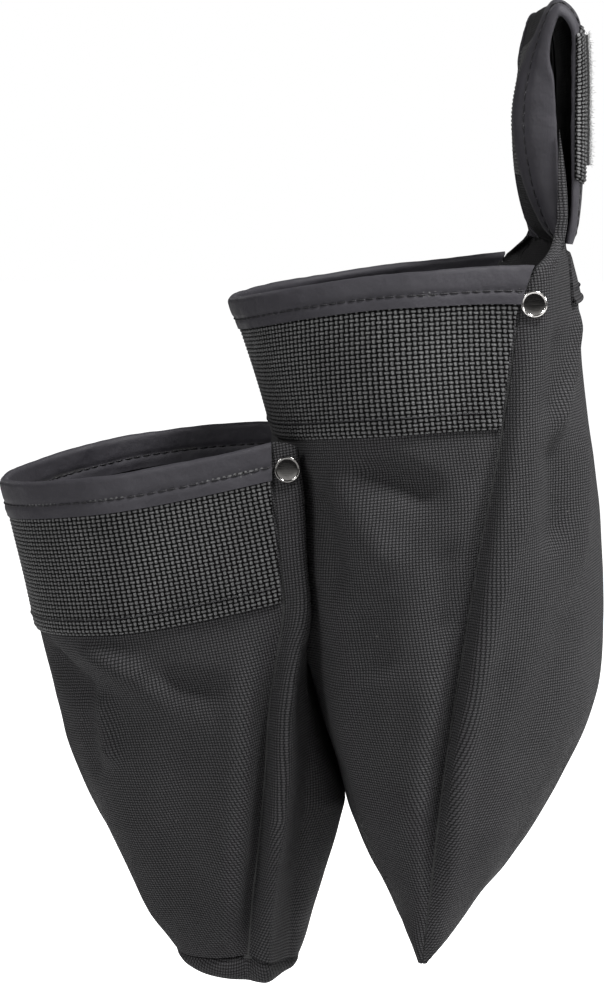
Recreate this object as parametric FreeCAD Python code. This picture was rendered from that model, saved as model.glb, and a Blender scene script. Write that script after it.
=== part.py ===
import FreeCAD, Part
import math
import os
from collections import namedtuple
from functools import lru_cache

# Electrician's belt pouch: a belt loop, an upper pouch under it and a smaller lower pouch on its front.
# Millimetres. X runs along the belt, +Y points at the wearer, +Z is up. The origin is the belt tunnel's centre.
# Every cloth piece is a thin closed sheet laid on, or beside, one of three curved walls.

Vec = FreeCAD.Vector
RIGHT, LEFT = 1, -1
FRONT, BACK = "front", "back"

# Cloth, webbing and tape.
CLOTH = 1.0
WEBBING = 1.5
TAPE = 0.5
PLY_GAP = 0.05
WEBBING_WIDTH = 50.8
BINDING_LEG = 12.7
FOLD_STEP = 1.1
SEAM_ALLOWANCE = 9.0
ALLOWANCE_SHARE = 0.16
SEAM_PLY = 2.4
SEAM_EASE = 0.6
SEAM_HALF = 0.6
SEAM_CLOSED = 0.08
FULL_CREASE = 2.0

# Where the webbing starts below the rim: its top edge is sewn under the binding.
WEBBING_TOP = 4.0
WEBBING_FOOT = WEBBING_TOP + WEBBING_WIDTH

# Rivets: a domed cap and a domed back cap on one tubular post.
CAP_RADIUS = 4.4
CAP_HEIGHT = 1.5
CAP_EDGE = 0.55
POST_RADIUS = 1.4
POST_PLAY = 0.05
BACK_CAP_RADIUS = 3.8
CAP_FLAT = 0.72
DRILL_LENGTH = 12.0

# A rivet's caps stand off the cloth's middle surface by as much as the cloth curves under them.
Rivet = namedtuple("Rivet", "share drop y z outside inside")
UPPER_RIVET = Rivet(0.03, 13, -11.6, -62.5, 1.5, 2.2)
LOWER_RIVET = Rivet(0.03, 8, -95.2, -119.5, 0.8, 2.6)

# One row of a pouch: how far it lies below the rim, its half width at the side seams, where the seams, the
# front and the back lie along Y, how square the front and the back curve are (2 is an ellipse), how far the
# side seam is drawn in, and how much the row drops for each millimetre forward.
Level = namedtuple("Level", "drop half_width seam front back front_square back_square crease tilt")
Pouch = namedtuple("Pouch", "name rim levels ear")

UPPER = Pouch(
    "upper",
    -49.5,
    (
        Level(-9, 64.5, -6.0, -115.0, 0.8, 2.6, 3.0, 0.0, 0.0),
        Level(-4, 76.5, -9.6, -113.0, 2.7, 2.6, 2.7, 0.0, 0.100),
        Level(0, 79.5, -11.7, -112.3, 4.2, 2.6, 2.5, 0.0, 0.135),
        Level(14, 81.0, -16.2, -108.0, 7.6, 2.8, 2.4, 0.5, 0.138),
        Level(34, 83.0, -19.3, -102.0, 9.8, 3.1, 2.2, 1.5, 0.132),
        Level(55, 84.0, -22.2, -96.5, 11.8, 3.3, 2.1, 3.2, 0.124),
        Level(72, 84.5, -25.2, -92.0, 14.5, 3.4, 2.1, 4.5, 0.110),
        Level(98, 84.5, -30.0, -90.5, 17.0, 3.4, 2.1, 5.0, 0.090),
        Level(128, 83.0, -34.7, -87.5, 18.2, 3.1, 2.1, 5.0, 0.070),
        Level(150, 81.0, -38.0, -83.5, 16.0, 2.9, 2.1, 4.5, 0.050),
        Level(170, 79.0, -40.7, -78.5, 10.5, 2.7, 2.1, 4.0, 0.035),
        Level(190, 76.5, -43.0, -74.5, 0.5, 2.5, 2.1, 3.0, 0.020),
        Level(206, 74.0, -44.7, -67.5, -14.5, 2.3, 2.1, 2.0, 0.010),
        Level(219, 71.5, -46.2, -58.7, -30.0, 2.4, 2.4, 1.0, 0.0),
        Level(231, 69.0, -47.4, -48.8, -46.0, 5.0, 5.0, 0.0, 0.0),
    ),
    4.0,
)
LOWER = Pouch(
    "lower",
    -111.5,
    (
        Level(0, 66.0, -100.8, -194.5, -70.0, 2.5, 5.0, 0.0, 0.170),
        Level(13, 66.5, -100.2, -191.2, -70.0, 2.6, 5.0, 0.0, 0.175),
        Level(33, 67.0, -97.6, -186.4, -70.0, 2.6, 5.0, 0.6, 0.185),
        Level(54, 67.0, -95.6, -181.6, -70.0, 2.6, 5.0, 2.0, 0.190),
        Level(70, 66.0, -97.8, -178.5, -70.0, 2.6, 4.5, 3.5, 0.160),
        Level(88, 64.5, -99.8, -174.6, -70.0, 2.6, 4.0, 4.0, 0.130),
        Level(113, 62.0, -102.6, -167.0, -70.0, 2.7, 3.6, 4.0, 0.090),
        Level(138, 57.5, -105.0, -156.5, -76.5, 2.9, 3.4, 3.5, 0.050),
        Level(160, 51.5, -107.5, -144.0, -82.0, 3.4, 3.6, 2.5, -0.020),
        Level(180, 46.5, -109.5, -131.0, -90.0, 4.0, 4.0, 1.0, -0.120),
    ),
    0.0,
)
CREASE_REACH = 5.0
EAR_POWER = 6
SECTION_STEPS = 60
PANEL_ROWS = 41
BAND_ROWS = 15

# The upper back panel runs on above the seams, narrowing to the foot of the belt loop. Its top edge falls
# toward its corners.
NECK_DROP = -5.6
NECK_FALL = 1.6
UPPER_BOTTOM = 230.5
BOTTOM_TAPE_END = 0.04
BOTTOM_PLY = 1.8

# The lower pouch hangs from the upper one below its webbing, and lies on it without touching.
POUCH_GAP = 1.9
LOWER_BACK_TOP = 8.5
LOWER_BACK_CORNER = 1.0
CORNER_SHARE = 0.16
LOWER_BOTTOM = 178.5
BASE_SAG = 8.5
BASE_END = 0.015
BASE_EASE = 0.6

# Belt loop: the same line at mid width and at the side edges, from the foot of its front wall over the crown
# to the foot of its back wall, as (y, z). The side edges curl in.
LOOP_HALF_WIDTH = 60.0
LOOP_CURL = 8.0
LOOP_MIDDLE = (
    (-0.3, -42.0), (-5.0, -35.0), (-8.9, -20.0), (-10.3, -2.0), (-9.9, 16.0), (-7.6, 31.0), (-0.8, 40.4),
    (5.4, 34.0), (6.2, 20.0), (6.3, -2.0), (6.0, -22.0), (4.6, -35.0), (2.3, -42.0),
)
LOOP_EDGE = (
    (-1.2, -42.0), (-3.1, -33.5), (-3.5, -20.0), (-3.9, -4.0), (-6.0, 11.0), (-8.0, 23.0), (-2.6, 35.2),
    (2.7, 30.0), (2.9, 18.0), (2.9, -2.0), (2.9, -20.0), (2.5, -33.5), (1.2, -42.0),
)
FRONT_BAND = (2.05, 4.95)
BACK_BAND = (7.25, 10.0)
BAND_EASE = 0.5
FASTENER = (7.5, 9.65)
FASTENER_HALF = 50.0
FASTENER_BACKING = 0.8
PILE_ROOM = 3.6
FASTENER_FACE = 12.0
STRIP_FRONT = ((-3.8, -41.4), (-3.5, -27.0), (-2.8, -7.0))
STRIP_REAR = ((0.5, -41.4), (-0.1, -27.0), (-2.0, -7.0))

# The loop's lower end is sewn flat on the back panel and hangs free below the stitching.
TAIL_TOP, TAIL_FOOT = -3.0, 13.0
TAIL_HALF = 57.0
TAIL_EASE = 0.5
TAIL_LIFT = 0.8
HEM = 0.8
HEM_TURNS = (-80, 260)
HEM_CLOTH = 0.8


def cubic(values, spots, k, at):
    """The value at a spot, on a smooth curve through the values, inside the span that begins at k."""
    def slope(i):
        low, high = max(i - 1, 0), min(i + 1, len(spots) - 1)
        return (values[high] - values[low]) / (spots[high] - spots[low])

    span = spots[k + 1] - spots[k]
    t = (at - spots[k]) / span
    return (
        values[k] * (2 * t**3 - 3 * t**2 + 1)
        + slope(k) * span * (t**3 - 2 * t**2 + t)
        + values[k + 1] * (3 * t**2 - 2 * t**3)
        + slope(k + 1) * span * (t**3 - t**2)
    )


@lru_cache(maxsize=None)
def level_at(pouch, drop):
    """The pouch's row at any distance below the rim."""
    spots = [level.drop for level in pouch.levels]
    k = max([i for i in range(len(spots) - 1) if spots[i] <= drop], default=0)
    return Level(*(cubic(column, spots, k, drop) for column in zip(*pouch.levels)))


def upper_front_y(x, z):
    """Where the upper pouch's front wall lies along Y, at this x and z."""
    drop = UPPER.rim - z
    for _ in range(4):
        line = section(UPPER, FRONT, drop)
        y = next((b[1] for a, b in zip(line, line[1:]) if b[0] <= abs(x)), line[-1][1])
        row = level_at(UPPER, drop)
        drop = UPPER.rim - z + row.tilt * (y - row.seam)
    return y


def seam_half(row):
    """Half the distance between the two panels' middle lines at a side seam. Turned-in cloth lies face to face."""
    return SEAM_CLOSED + (SEAM_HALF - SEAM_CLOSED) * min(max(row.crease / FULL_CREASE, 0), 1)


@lru_cache(maxsize=None)
def section(pouch, side, drop):
    """The right half of a panel's line at one drop, from the seam to the centre, as (x, y) points."""
    row = level_at(pouch, drop)
    square = row.front_square if side == FRONT else row.back_square
    half = seam_half(row)
    seam = row.seam + (-half if side == FRONT else half)
    points = []
    for i in range(SECTION_STEPS + 1):
        turn = math.pi / 2 * (i / SECTION_STEPS) ** (square / 2)
        x = row.half_width * max(math.cos(turn), 0.0) ** (2 / square)
        far = row.front if side == FRONT else row.back
        if pouch is LOWER and side == BACK:
            for _ in range(2):
                z = pouch.rim - drop + row.tilt * (far - row.seam)
                far = min(row.back, upper_front_y(x, z) - POUCH_GAP)
        y = seam + (far - seam) * math.sin(turn) ** (2 / square)
        drawn = row.crease * math.exp(-(((y - seam) / CREASE_REACH) ** 2))
        points.append((max(x - drawn, 0.0), y))
    return points


def wall_point(pouch, side, share, drop):
    """A point on a pouch's wall: share runs from 0 at the right seam to 1 at the left, drop down from the rim."""
    line = section(pouch, side, drop)
    lengths = [math.dist(a, b) for a, b in zip(line, line[1:])]
    left = sum(lengths) * 2 * min(share, 1 - share)
    k = 0
    while k < len(lengths) - 1 and left > lengths[k]:
        left -= lengths[k]
        k += 1
    t = min(left / lengths[k], 1.0)
    x, y = (a + (b - a) * t for a, b in zip(line[k], line[k + 1]))
    row = level_at(pouch, drop)
    ear = pouch.ear * (drop / pouch.levels[-1].drop) ** 4 * (x / row.half_width) ** EAR_POWER
    z = pouch.rim - drop + row.tilt * (y - row.seam) - max(ear, 0.0)
    return Vec(x if share <= 0.5 else -x, y, z)


def spread(low, high, count):
    return [low + (high - low) * i / (count - 1) for i in range(count)]


def seam_shares(low, high, count):
    """Shares from low to high, closer together near the two seams."""
    return [low + (high - low) * (1 - math.cos(math.pi * t)) / 2 for t in spread(0, 1, count)]


SHARES = seam_shares(0.001, 0.999, 31)


def normals(rows):
    """A unit normal at each point of a grid of points."""
    def step(line, i):
        return line[min(i + 1, len(line) - 1)] - line[max(i - 1, 0)]

    columns = list(zip(*rows))
    return [
        [step(row, j).cross(step(columns[j], i)).normalize() for j in range(len(row))]
        for i, row in enumerate(rows)
    ]


def shifted(rows, offsets):
    """The grid moved along its normals. offsets is one distance, or one for each place along a row."""
    if not hasattr(offsets, "__len__"):
        offsets = [offsets] * len(rows[0])
    return [
        [p + n * o for p, n, o in zip(row, row_normals, offsets)]
        for row, row_normals in zip(rows, normals(rows))
    ]


def sheet(rows, inner, outer):
    """A closed solid between two copies of a grid, moved along its normals by inner and outer."""
    surfaces = []
    for offset in (inner, outer):
        surface = Part.BSplineSurface()
        surface.interpolate(shifted(rows, offset))
        surfaces.append(surface)
    faces = [surface.toShape() for surface in surfaces]
    u0, u1, v0, v1 = surfaces[0].bounds()
    U0, U1, V0, V1 = surfaces[1].bounds()
    for low, high in (
        (surfaces[0].uIso(u0), surfaces[1].uIso(U0)),
        (surfaces[0].uIso(u1), surfaces[1].uIso(U1)),
        (surfaces[0].vIso(v0), surfaces[1].vIso(V0)),
        (surfaces[0].vIso(v1), surfaces[1].vIso(V1)),
    ):
        faces.append(Part.makeRuledSurface(low.toShape(), high.toShape()))
    shell = Part.Shell(faces)
    shell.sewShape()
    solid = Part.Solid(Part.Shell(shell.Faces))
    if solid.Volume < 0:
        solid.reverse()
    return solid


def wall_sheet(pouch, side, shares, drops, inner, outer):
    """A sheet on a pouch's wall. The normal points out of the pouch."""
    rows = [[wall_point(pouch, side, share, drop) for share in shares] for drop in drops]
    if side == BACK:
        rows = [row[::-1] for row in rows]
    return sheet(rows, inner, outer)


def front_panel(pouch, bottom):
    return wall_sheet(pouch, FRONT, SHARES, spread(0, bottom, PANEL_ROWS), -CLOTH / 2, CLOTH / 2)


def back_panel(pouch, top_of, bottom):
    """A back panel whose top edge follows top_of(share)."""
    rows = [
        [wall_point(pouch, BACK, share, top_of(share) + (bottom - top_of(share)) * t) for share in SHARES[::-1]]
        for t in spread(0, 1, PANEL_ROWS)
    ]
    return sheet(rows, -CLOTH / 2, CLOTH / 2)


def neck_top(share):
    """The upper back panel's top edge."""
    return NECK_DROP + NECK_FALL * (2 * share - 1) ** 4


def lower_top(share):
    """The lower back panel's top edge: at the rim by the seams, below the upper webbing between them."""
    t = min(min(share, 1 - share) / CORNER_SHARE, 1)
    return LOWER_BACK_CORNER + (LOWER_BACK_TOP - LOWER_BACK_CORNER) * t**2 * (3 - 2 * t)


def bottom_tape():
    """The seam allowances along the upper pouch's bottom, standing between the two panels."""
    rows = []
    for drop in spread(UPPER_BOTTOM - SEAM_ALLOWANCE, UPPER_BOTTOM, 5):
        rows.append([
            (wall_point(UPPER, FRONT, share, drop) + wall_point(UPPER, BACK, share, drop)) * 0.5
            for share in spread(BOTTOM_TAPE_END, 1 - BOTTOM_TAPE_END, 21)
        ])
    return sheet(rows, -BOTTOM_PLY / 2, BOTTOM_PLY / 2)


def lower_base():
    """The lower pouch's bottom, hung between the lower edges of its front and back panels."""
    rows = []
    for share in seam_shares(BASE_END, 1 - BASE_END, 21):
        front = wall_point(LOWER, FRONT, share, LOWER_BOTTOM + BASE_EASE)
        back = wall_point(LOWER, BACK, share, LOWER_BOTTOM + BASE_EASE)
        reach = min(front.distanceToPoint(back) / abs(LOWER.levels[-1].front - LOWER.levels[-1].back), 1)
        rows.append([
            front + (back - front) * t - Vec(0, 0, BASE_SAG * reach * math.sin(math.pi * t) ** 0.5)
            for t in spread(0, 1, 9)
        ])
    return sheet(rows, -CLOTH / 2, CLOTH / 2)


def band(pouch):
    """The webbing band round the front of a pouch."""
    inner = CLOTH / 2 + PLY_GAP
    drops = spread(WEBBING_TOP, WEBBING_FOOT, BAND_ROWS)
    return wall_sheet(pouch, FRONT, SHARES, drops, inner, inner + WEBBING)


def folded_tape(row_at, leg, out_mid, in_mid):
    """Rows of a tape folded over an edge: up the outside, over the edge and down the inside.
    row_at(drop) gives the points a little below the edge, out_mid and in_mid are the legs' middle lines.
    The rows are evenly spaced round the fold."""
    radius = (out_mid - in_mid) / 2
    centre = (out_mid + in_mid) / 2
    turns = max(3, round(math.pi * radius / FOLD_STEP))
    edge, below = row_at(0.0), row_at(1.0)
    across = shifted([edge, below], 1.0)[0]
    drops = spread(leg, FOLD_STEP / 2, round(leg / FOLD_STEP))
    rows = [shifted([row_at(drop), row_at(drop + 1)], out_mid)[0] for drop in drops]
    for i in range(turns):
        angle = math.pi * (i + 0.5) / turns
        rows.append([
            e + (a - e) * (centre + radius * math.cos(angle)) + (e - b).normalize() * (radius * math.sin(angle))
            for e, b, a in zip(edge, below, across)
        ])
    return rows + [shifted([row_at(drop), row_at(drop + 1)], in_mid)[0] for drop in drops[::-1]]


def rim_binding(pouch):
    """Tape folded over a pouch's front rim, outside the webbing and inside the cloth."""
    out_mid = CLOTH / 2 + WEBBING + 2 * PLY_GAP + TAPE / 2
    in_mid = -CLOTH / 2 - PLY_GAP - TAPE / 2

    def rim_row(drop):
        return [wall_point(pouch, FRONT, share, drop) for share in SHARES]

    return sheet(folded_tape(rim_row, BINDING_LEG, out_mid, in_mid), -TAPE / 2, TAPE / 2)


def seam_tape(pouch, side, top, bottom):
    """The two seam allowances and the tape folded over them, standing inside a side seam."""
    rows = []
    for drop in spread(top, bottom, 15):
        row = level_at(pouch, drop)
        foot = wall_point(pouch, FRONT, 0.0, drop) + Vec(0, seam_half(row), 0)
        depth = min(SEAM_ALLOWANCE, ALLOWANCE_SHARE * row.half_width)
        rows.append([
            Vec(side * (foot.x - CLOTH / 2 - SEAM_EASE - depth * t), foot.y, foot.z) for t in spread(0, 1, 4)
        ])
    return sheet(rows, -SEAM_PLY / 2, SEAM_PLY / 2)


def disc(radius, height, edge):
    """A domed cap, flat side on the XY plane, turned from its half outline."""
    outline = Part.Wire([
        Part.LineSegment(Vec(0, 0, 0), Vec(radius, 0, 0)).toShape(),
        Part.LineSegment(Vec(radius, 0, 0), Vec(radius, 0, edge)).toShape(),
        Part.Arc(
            Vec(radius, 0, edge),
            Vec(radius - 0.3 * height, 0, height - 0.28 * (height - edge)),
            Vec(CAP_FLAT * radius, 0, height),
        ).toShape(),
        Part.LineSegment(Vec(CAP_FLAT * radius, 0, height), Vec(0, 0, height)).toShape(),
        Part.LineSegment(Vec(0, 0, height), Vec(0, 0, 0)).toShape(),
    ])
    return Part.Face(outline).revolve(Vec(0, 0, 0), Vec(0, 0, 1), 360)


def turned(shape, side, place):
    """A shape made along +Z, laid along the outward X axis at a place on the right and mirrored to the left."""
    shape = shape.copy()
    shape.rotate(Vec(0, 0, 0), Vec(0, 1, 0), 90 * side)
    shape.translate(Vec(side * place.x, place.y, place.z))
    return shape


def rivet_place(pouch, rivet):
    """The right rivet's place on the cloth's middle surface."""
    return Vec(wall_point(pouch, BACK, rivet.share, rivet.drop).x, rivet.y, rivet.z)


def rivet_set(place, rivet):
    """Caps, posts and back caps of a pair of rivets, right and left."""
    caps, posts, backs = [], [], []
    for side in (RIGHT, LEFT):
        caps.append(turned(disc(CAP_RADIUS, CAP_HEIGHT, CAP_EDGE), side, place + Vec(rivet.outside, 0, 0)))
        post = Part.makeCylinder(POST_RADIUS, rivet.inside + rivet.outside)
        posts.append(turned(post, side, place - Vec(rivet.inside, 0, 0)))
        back = turned(disc(BACK_CAP_RADIUS, CAP_HEIGHT, CAP_EDGE), -side, Vec(0, 0, 0))
        back.translate(Vec(side * (place.x - rivet.inside), place.y, place.z))
        backs.append(back)
    return Part.makeCompound(caps), Part.makeCompound(posts), Part.makeCompound(backs)


def rivet_holes(place):
    """Cutters for a pair of rivet posts."""
    drills = []
    for side in (RIGHT, LEFT):
        drill = Part.makeCylinder(POST_RADIUS + POST_PLAY, DRILL_LENGTH)
        drills.append(turned(drill, side, place - Vec(DRILL_LENGTH / 2, 0, 0)))
    return Part.makeCompound(drills)


def loop_point(along, x):
    """A point on the belt loop's middle surface. along counts the places in LOOP_MIDDLE."""
    spots = list(range(len(LOOP_MIDDLE)))
    k = min(int(along), len(spots) - 2)
    curl = (abs(x) / LOOP_HALF_WIDTH) ** LOOP_CURL
    y, z = (
        cubic([m[i] * (1 - curl) + e[i] * curl for m, e in zip(LOOP_MIDDLE, LOOP_EDGE)], spots, k, along)
        for i in (0, 1)
    )
    return Vec(x, y, z)


def loop_sheet(alongs, half_width, inner, outer):
    """A sheet on the belt loop. The normal points out of the tunnel."""
    across = spread(-half_width, half_width, 15)
    return sheet([[loop_point(a, x) for x in across] for a in alongs], inner, outer)


def loop_panel():
    return loop_sheet(spread(0, len(LOOP_MIDDLE) - 1, 37), LOOP_HALF_WIDTH, -CLOTH / 2, CLOTH / 2)


def loop_binding(side):
    """Tape folded over one side edge of the belt loop."""
    middle = CLOTH / 2 + PLY_GAP + TAPE / 2
    alongs = spread(0, len(LOOP_MIDDLE) - 1, 37)[::side]

    def edge_row(drop):
        return [loop_point(along, side * (LOOP_HALF_WIDTH - drop)) for along in alongs]

    return sheet(folded_tape(edge_row, BINDING_LEG, middle, -middle), -TAPE / 2, TAPE / 2)


def fastener_pile(inner):
    """The pile, filling up from the backing to one flat face."""
    room = loop_sheet(spread(*FASTENER, BAND_ROWS), FASTENER_HALF, inner, inner + PILE_ROOM)
    size = 4 * FASTENER_HALF
    behind_face = Part.makeBox(size, size, size, Vec(-size / 2, FASTENER_FACE - size, -size / 2))
    return room.common(behind_face)


def edge_strip(side):
    """The back panel's narrow cloth edge that runs on up the outside of the loop's front wall."""
    x = side * (LOOP_HALF_WIDTH + CLOTH / 2 + PLY_GAP + TAPE + 2 * PLY_GAP + CLOTH / 2)
    rows = []
    for t in spread(0, 2, 9):
        k = min(int(t), 1)
        ends = [
            Vec(x, *(a + (b - a) * (t - k) for a, b in zip(edge[k], edge[k + 1])))
            for edge in (STRIP_FRONT, STRIP_REAR)
        ]
        rows.append([ends[0] + (ends[1] - ends[0]) * s for s in spread(0, 1, 4)])
    return sheet(rows, -CLOTH / 2, CLOTH / 2)


def loop_tail():
    """The loosely hanging end of the loop below its stitching, with a rolled hem."""
    shares = [s for s in spread(0.02, 0.98, 97) if abs(wall_point(UPPER, BACK, s, 0).x) < TAIL_HALF][::6]
    drops = spread(TAIL_TOP, TAIL_FOOT, 9)
    rows = []
    for t, drop in zip(spread(0, 1, 9), drops):
        flat = [wall_point(UPPER, BACK, s, drop) for s in shares[::-1]]
        under = [wall_point(UPPER, BACK, s, drop + 1) for s in shares[::-1]]
        rows.append(shifted([flat, under], CLOTH + TAIL_EASE + TAIL_LIFT * t**2)[0])
    panel = sheet(rows, -CLOTH / 2, CLOTH / 2)
    hem_rows = []
    for turn in spread(*HEM_TURNS, 9):
        angle = math.radians(turn)
        hem_rows.append([
            p + Vec(0, HEM * math.cos(angle), HEM * math.sin(angle) - HEM * 1.6) for p in rows[-1]
        ])
    return panel, sheet(hem_rows, -HEM_CLOTH / 2, HEM_CLOTH / 2)


def export(parts):
    os.makedirs("parts", exist_ok=True)
    for name, shape in parts.items():
        shape.exportStep(f"parts/{name}.step")


def build():
    """Every sub-part by its node's name."""
    parts = {}
    parts["upper_front_panel"] = front_panel(UPPER, UPPER_BOTTOM)
    parts["upper_back_panel"] = back_panel(UPPER, neck_top, UPPER_BOTTOM)
    parts["upper_bottom_tape"] = bottom_tape()
    parts["lower_front_panel"] = front_panel(LOWER, LOWER_BOTTOM)
    parts["lower_back_panel"] = back_panel(LOWER, lower_top, LOWER_BOTTOM)
    parts["lower_base_panel"] = lower_base()
    for pouch, rivet in ((UPPER, UPPER_RIVET), (LOWER, LOWER_RIVET)):
        name = pouch.name
        place = rivet_place(pouch, rivet)
        parts[f"{name}_back_panel"] = parts[f"{name}_back_panel"].cut(rivet_holes(place))
        caps, posts, backs = rivet_set(place, rivet)
        parts[f"{name}_rivet_caps"] = caps
        parts[f"{name}_rivet_posts"] = posts
        parts[f"{name}_rivet_backs"] = backs
        parts[f"{name}_webbing"] = band(pouch)
        parts[f"{name}_rim_binding"] = rim_binding(pouch)

    for side, word in ((RIGHT, "right"), (LEFT, "left")):
        parts[f"upper_seam_tape_{word}"] = seam_tape(UPPER, side, 22, 214)
        parts[f"lower_seam_tape_{word}"] = seam_tape(LOWER, side, 22, 172)
        parts[f"loop_binding_{word}"] = loop_binding(side)
        parts[f"loop_edge_strip_{word}"] = edge_strip(side)

    outside = CLOTH / 2 + PLY_GAP
    over_binding = outside + TAPE + PLY_GAP
    on_webbing = over_binding + WEBBING + PLY_GAP
    on_backing = on_webbing + FASTENER_BACKING + PLY_GAP
    inside_bindings = LOOP_HALF_WIDTH - BINDING_LEG - BAND_EASE
    front_rows, back_rows, patch_rows = (spread(*span, BAND_ROWS) for span in (FRONT_BAND, BACK_BAND, FASTENER))
    parts["loop_panel"] = loop_panel()
    parts["loop_front_band"] = loop_sheet(front_rows, inside_bindings, outside, outside + TAPE)
    parts["loop_back_webbing"] = loop_sheet(back_rows, LOOP_HALF_WIDTH, over_binding, over_binding + WEBBING)
    parts["fastener_backing"] = loop_sheet(patch_rows, FASTENER_HALF, on_webbing, on_webbing + FASTENER_BACKING)
    parts["fastener_pile"] = fastener_pile(on_backing)
    parts["loop_tail"], parts["loop_tail_hem"] = loop_tail()
    return parts


export(build())
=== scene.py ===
import math
from collections import namedtuple
from functools import lru_cache

import bpy
import numpy as np
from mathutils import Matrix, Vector, noise


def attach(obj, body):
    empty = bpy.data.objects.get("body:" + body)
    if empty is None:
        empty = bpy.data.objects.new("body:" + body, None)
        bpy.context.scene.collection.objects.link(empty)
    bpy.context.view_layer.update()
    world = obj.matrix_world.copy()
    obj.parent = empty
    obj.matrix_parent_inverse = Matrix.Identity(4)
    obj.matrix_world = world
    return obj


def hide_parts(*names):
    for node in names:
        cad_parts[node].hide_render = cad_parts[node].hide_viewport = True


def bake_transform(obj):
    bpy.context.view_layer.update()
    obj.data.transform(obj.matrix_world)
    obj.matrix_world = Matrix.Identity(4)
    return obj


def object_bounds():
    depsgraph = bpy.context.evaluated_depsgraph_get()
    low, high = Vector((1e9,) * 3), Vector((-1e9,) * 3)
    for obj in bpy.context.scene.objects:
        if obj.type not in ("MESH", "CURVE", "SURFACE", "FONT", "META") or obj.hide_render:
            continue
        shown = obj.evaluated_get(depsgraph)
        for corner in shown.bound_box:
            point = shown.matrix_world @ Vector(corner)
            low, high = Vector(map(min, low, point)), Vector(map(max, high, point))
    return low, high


# Looks of the tool pouch. Shapes are worked out in millimetres on curved walls close to the CAD sheets' own,
# and become metres in make_mesh. X runs along the belt, +Y to the wearer, +Z up.

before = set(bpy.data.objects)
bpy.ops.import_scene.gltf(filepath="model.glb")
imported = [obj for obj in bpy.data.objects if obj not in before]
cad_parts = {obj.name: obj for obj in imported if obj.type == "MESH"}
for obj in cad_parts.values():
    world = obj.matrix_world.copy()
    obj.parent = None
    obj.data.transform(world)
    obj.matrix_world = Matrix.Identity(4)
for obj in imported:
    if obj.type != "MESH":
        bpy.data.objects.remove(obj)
CAD_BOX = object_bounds()

MM = 0.001
RIGHT, LEFT = 1, -1
FRONT, BACK = "front", "back"
BOTH_SIDES = ((RIGHT, "right"), (LEFT, "left"))

# Cloth, webbing and tape, as in the CAD model.
CLOTH = 1.0
WEBBING = 1.5
TAPE = 0.5
PLY_GAP = 0.05
WEBBING_TOP = 1.0
WEBBING_WIDTH = 50.8
WEBBING_LENGTH = {"upper": 300, "lower": 290}
BINDING_LEG = 10.9
LOOP_LEG = 8.0

# Stitches: their place on a folded tape as a share of its leg, how far they pull it in, the row of its grid
# that they follow, and how far above the webbing's lower edge the band's own stitches are.
STITCH_SHARE = 0.58
STITCH_DIP = 0.5
STITCH_ROW = 7
BAND_STITCH_UP = 5.6

# Yarn spacings, the relief of the webbing's yarns, and the points of a webbing band.
CLOTH_WARP, CLOTH_WEFT = 1.08, 0.93
WEB_WARP, WEB_WEFT = 1.87, 1.39
WEB_RELIEF = 0.8
HIDDEN_ROWS = 9
COLUMNS_PER_YARN, ROWS_PER_YARN = 3, 4

# One row of a pouch, drop millimetres below its rim. tilt is how much the row falls per millimetre forward,
# and arch how far it rises between its seam and its front.
Level = namedtuple("Level", "drop half_width seam front back front_square back_square crease tilt arch")
Pouch = namedtuple("Pouch", "name rim levels ear bottom")


def levels(*rows):
    return tuple(Level(*row) for row in rows)


UPPER = Pouch(
    "upper",
    -50.4,
    levels(
        (-43, 62.3, -2.4, -115.0, 1.6, 2.6, 4.0, 0.0, 0.0, 0.0),
        (-30, 62.6, -2.6, -115.0, 2.4, 2.6, 4.0, 0.0, 0.0, 0.0),
        (-18, 63.2, -2.9, -115.0, 2.8, 2.6, 4.0, 0.0, 0.0, 0.0),
        (-9, 65.0, -3.8, -115.0, 1.6, 2.6, 3.2, 0.0, 0.0, 2.0),
        (-4, 75.0, -7.8, -113.0, 2.8, 2.6, 2.7, 0.0, 0.100, 3.6),
        (0, 79.5, -11.7, -112.3, 4.2, 2.6, 2.5, 0.0, 0.130, 3.0),
        (14, 81.0, -16.2, -108.0, 7.6, 2.8, 2.4, 0.5, 0.110, 3.0),
        (34, 83.0, -19.3, -102.0, 9.8, 3.1, 2.2, 1.5, 0.096, 1.6),
        (55, 84.0, -22.2, -96.5, 11.8, 3.3, 2.1, 3.2, 0.084, 0.8),
        (72, 84.5, -25.2, -92.0, 14.5, 3.4, 2.1, 4.5, 0.090, -0.3),
        (98, 84.5, -30.0, -90.5, 17.0, 3.4, 2.1, 6.0, 0.080, 0.0),
        (128, 83.0, -34.7, -87.5, 18.6, 3.1, 2.1, 6.0, 0.070, 0.0),
        (150, 81.0, -38.0, -83.0, 17.4, 2.9, 2.1, 5.6, 0.050, 0.0),
        (170, 79.0, -40.7, -76.7, 10.2, 2.7, 2.1, 5.0, 0.035, 0.0),
        (190, 76.5, -43.0, -71.0, -1.8, 2.5, 2.1, 4.0, 0.020, 0.0),
        (206, 74.0, -44.7, -64.8, -13.6, 2.3, 2.1, 2.0, 0.010, 0.0),
        (219, 71.5, -46.2, -57.5, -27.2, 2.4, 2.4, 1.0, 0.0, 0.0),
        (231, 69.0, -47.4, -48.8, -46.0, 5.0, 5.0, 0.0, 0.0, 0.0),
    ),
    4.0,
    230.5,
)
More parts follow.
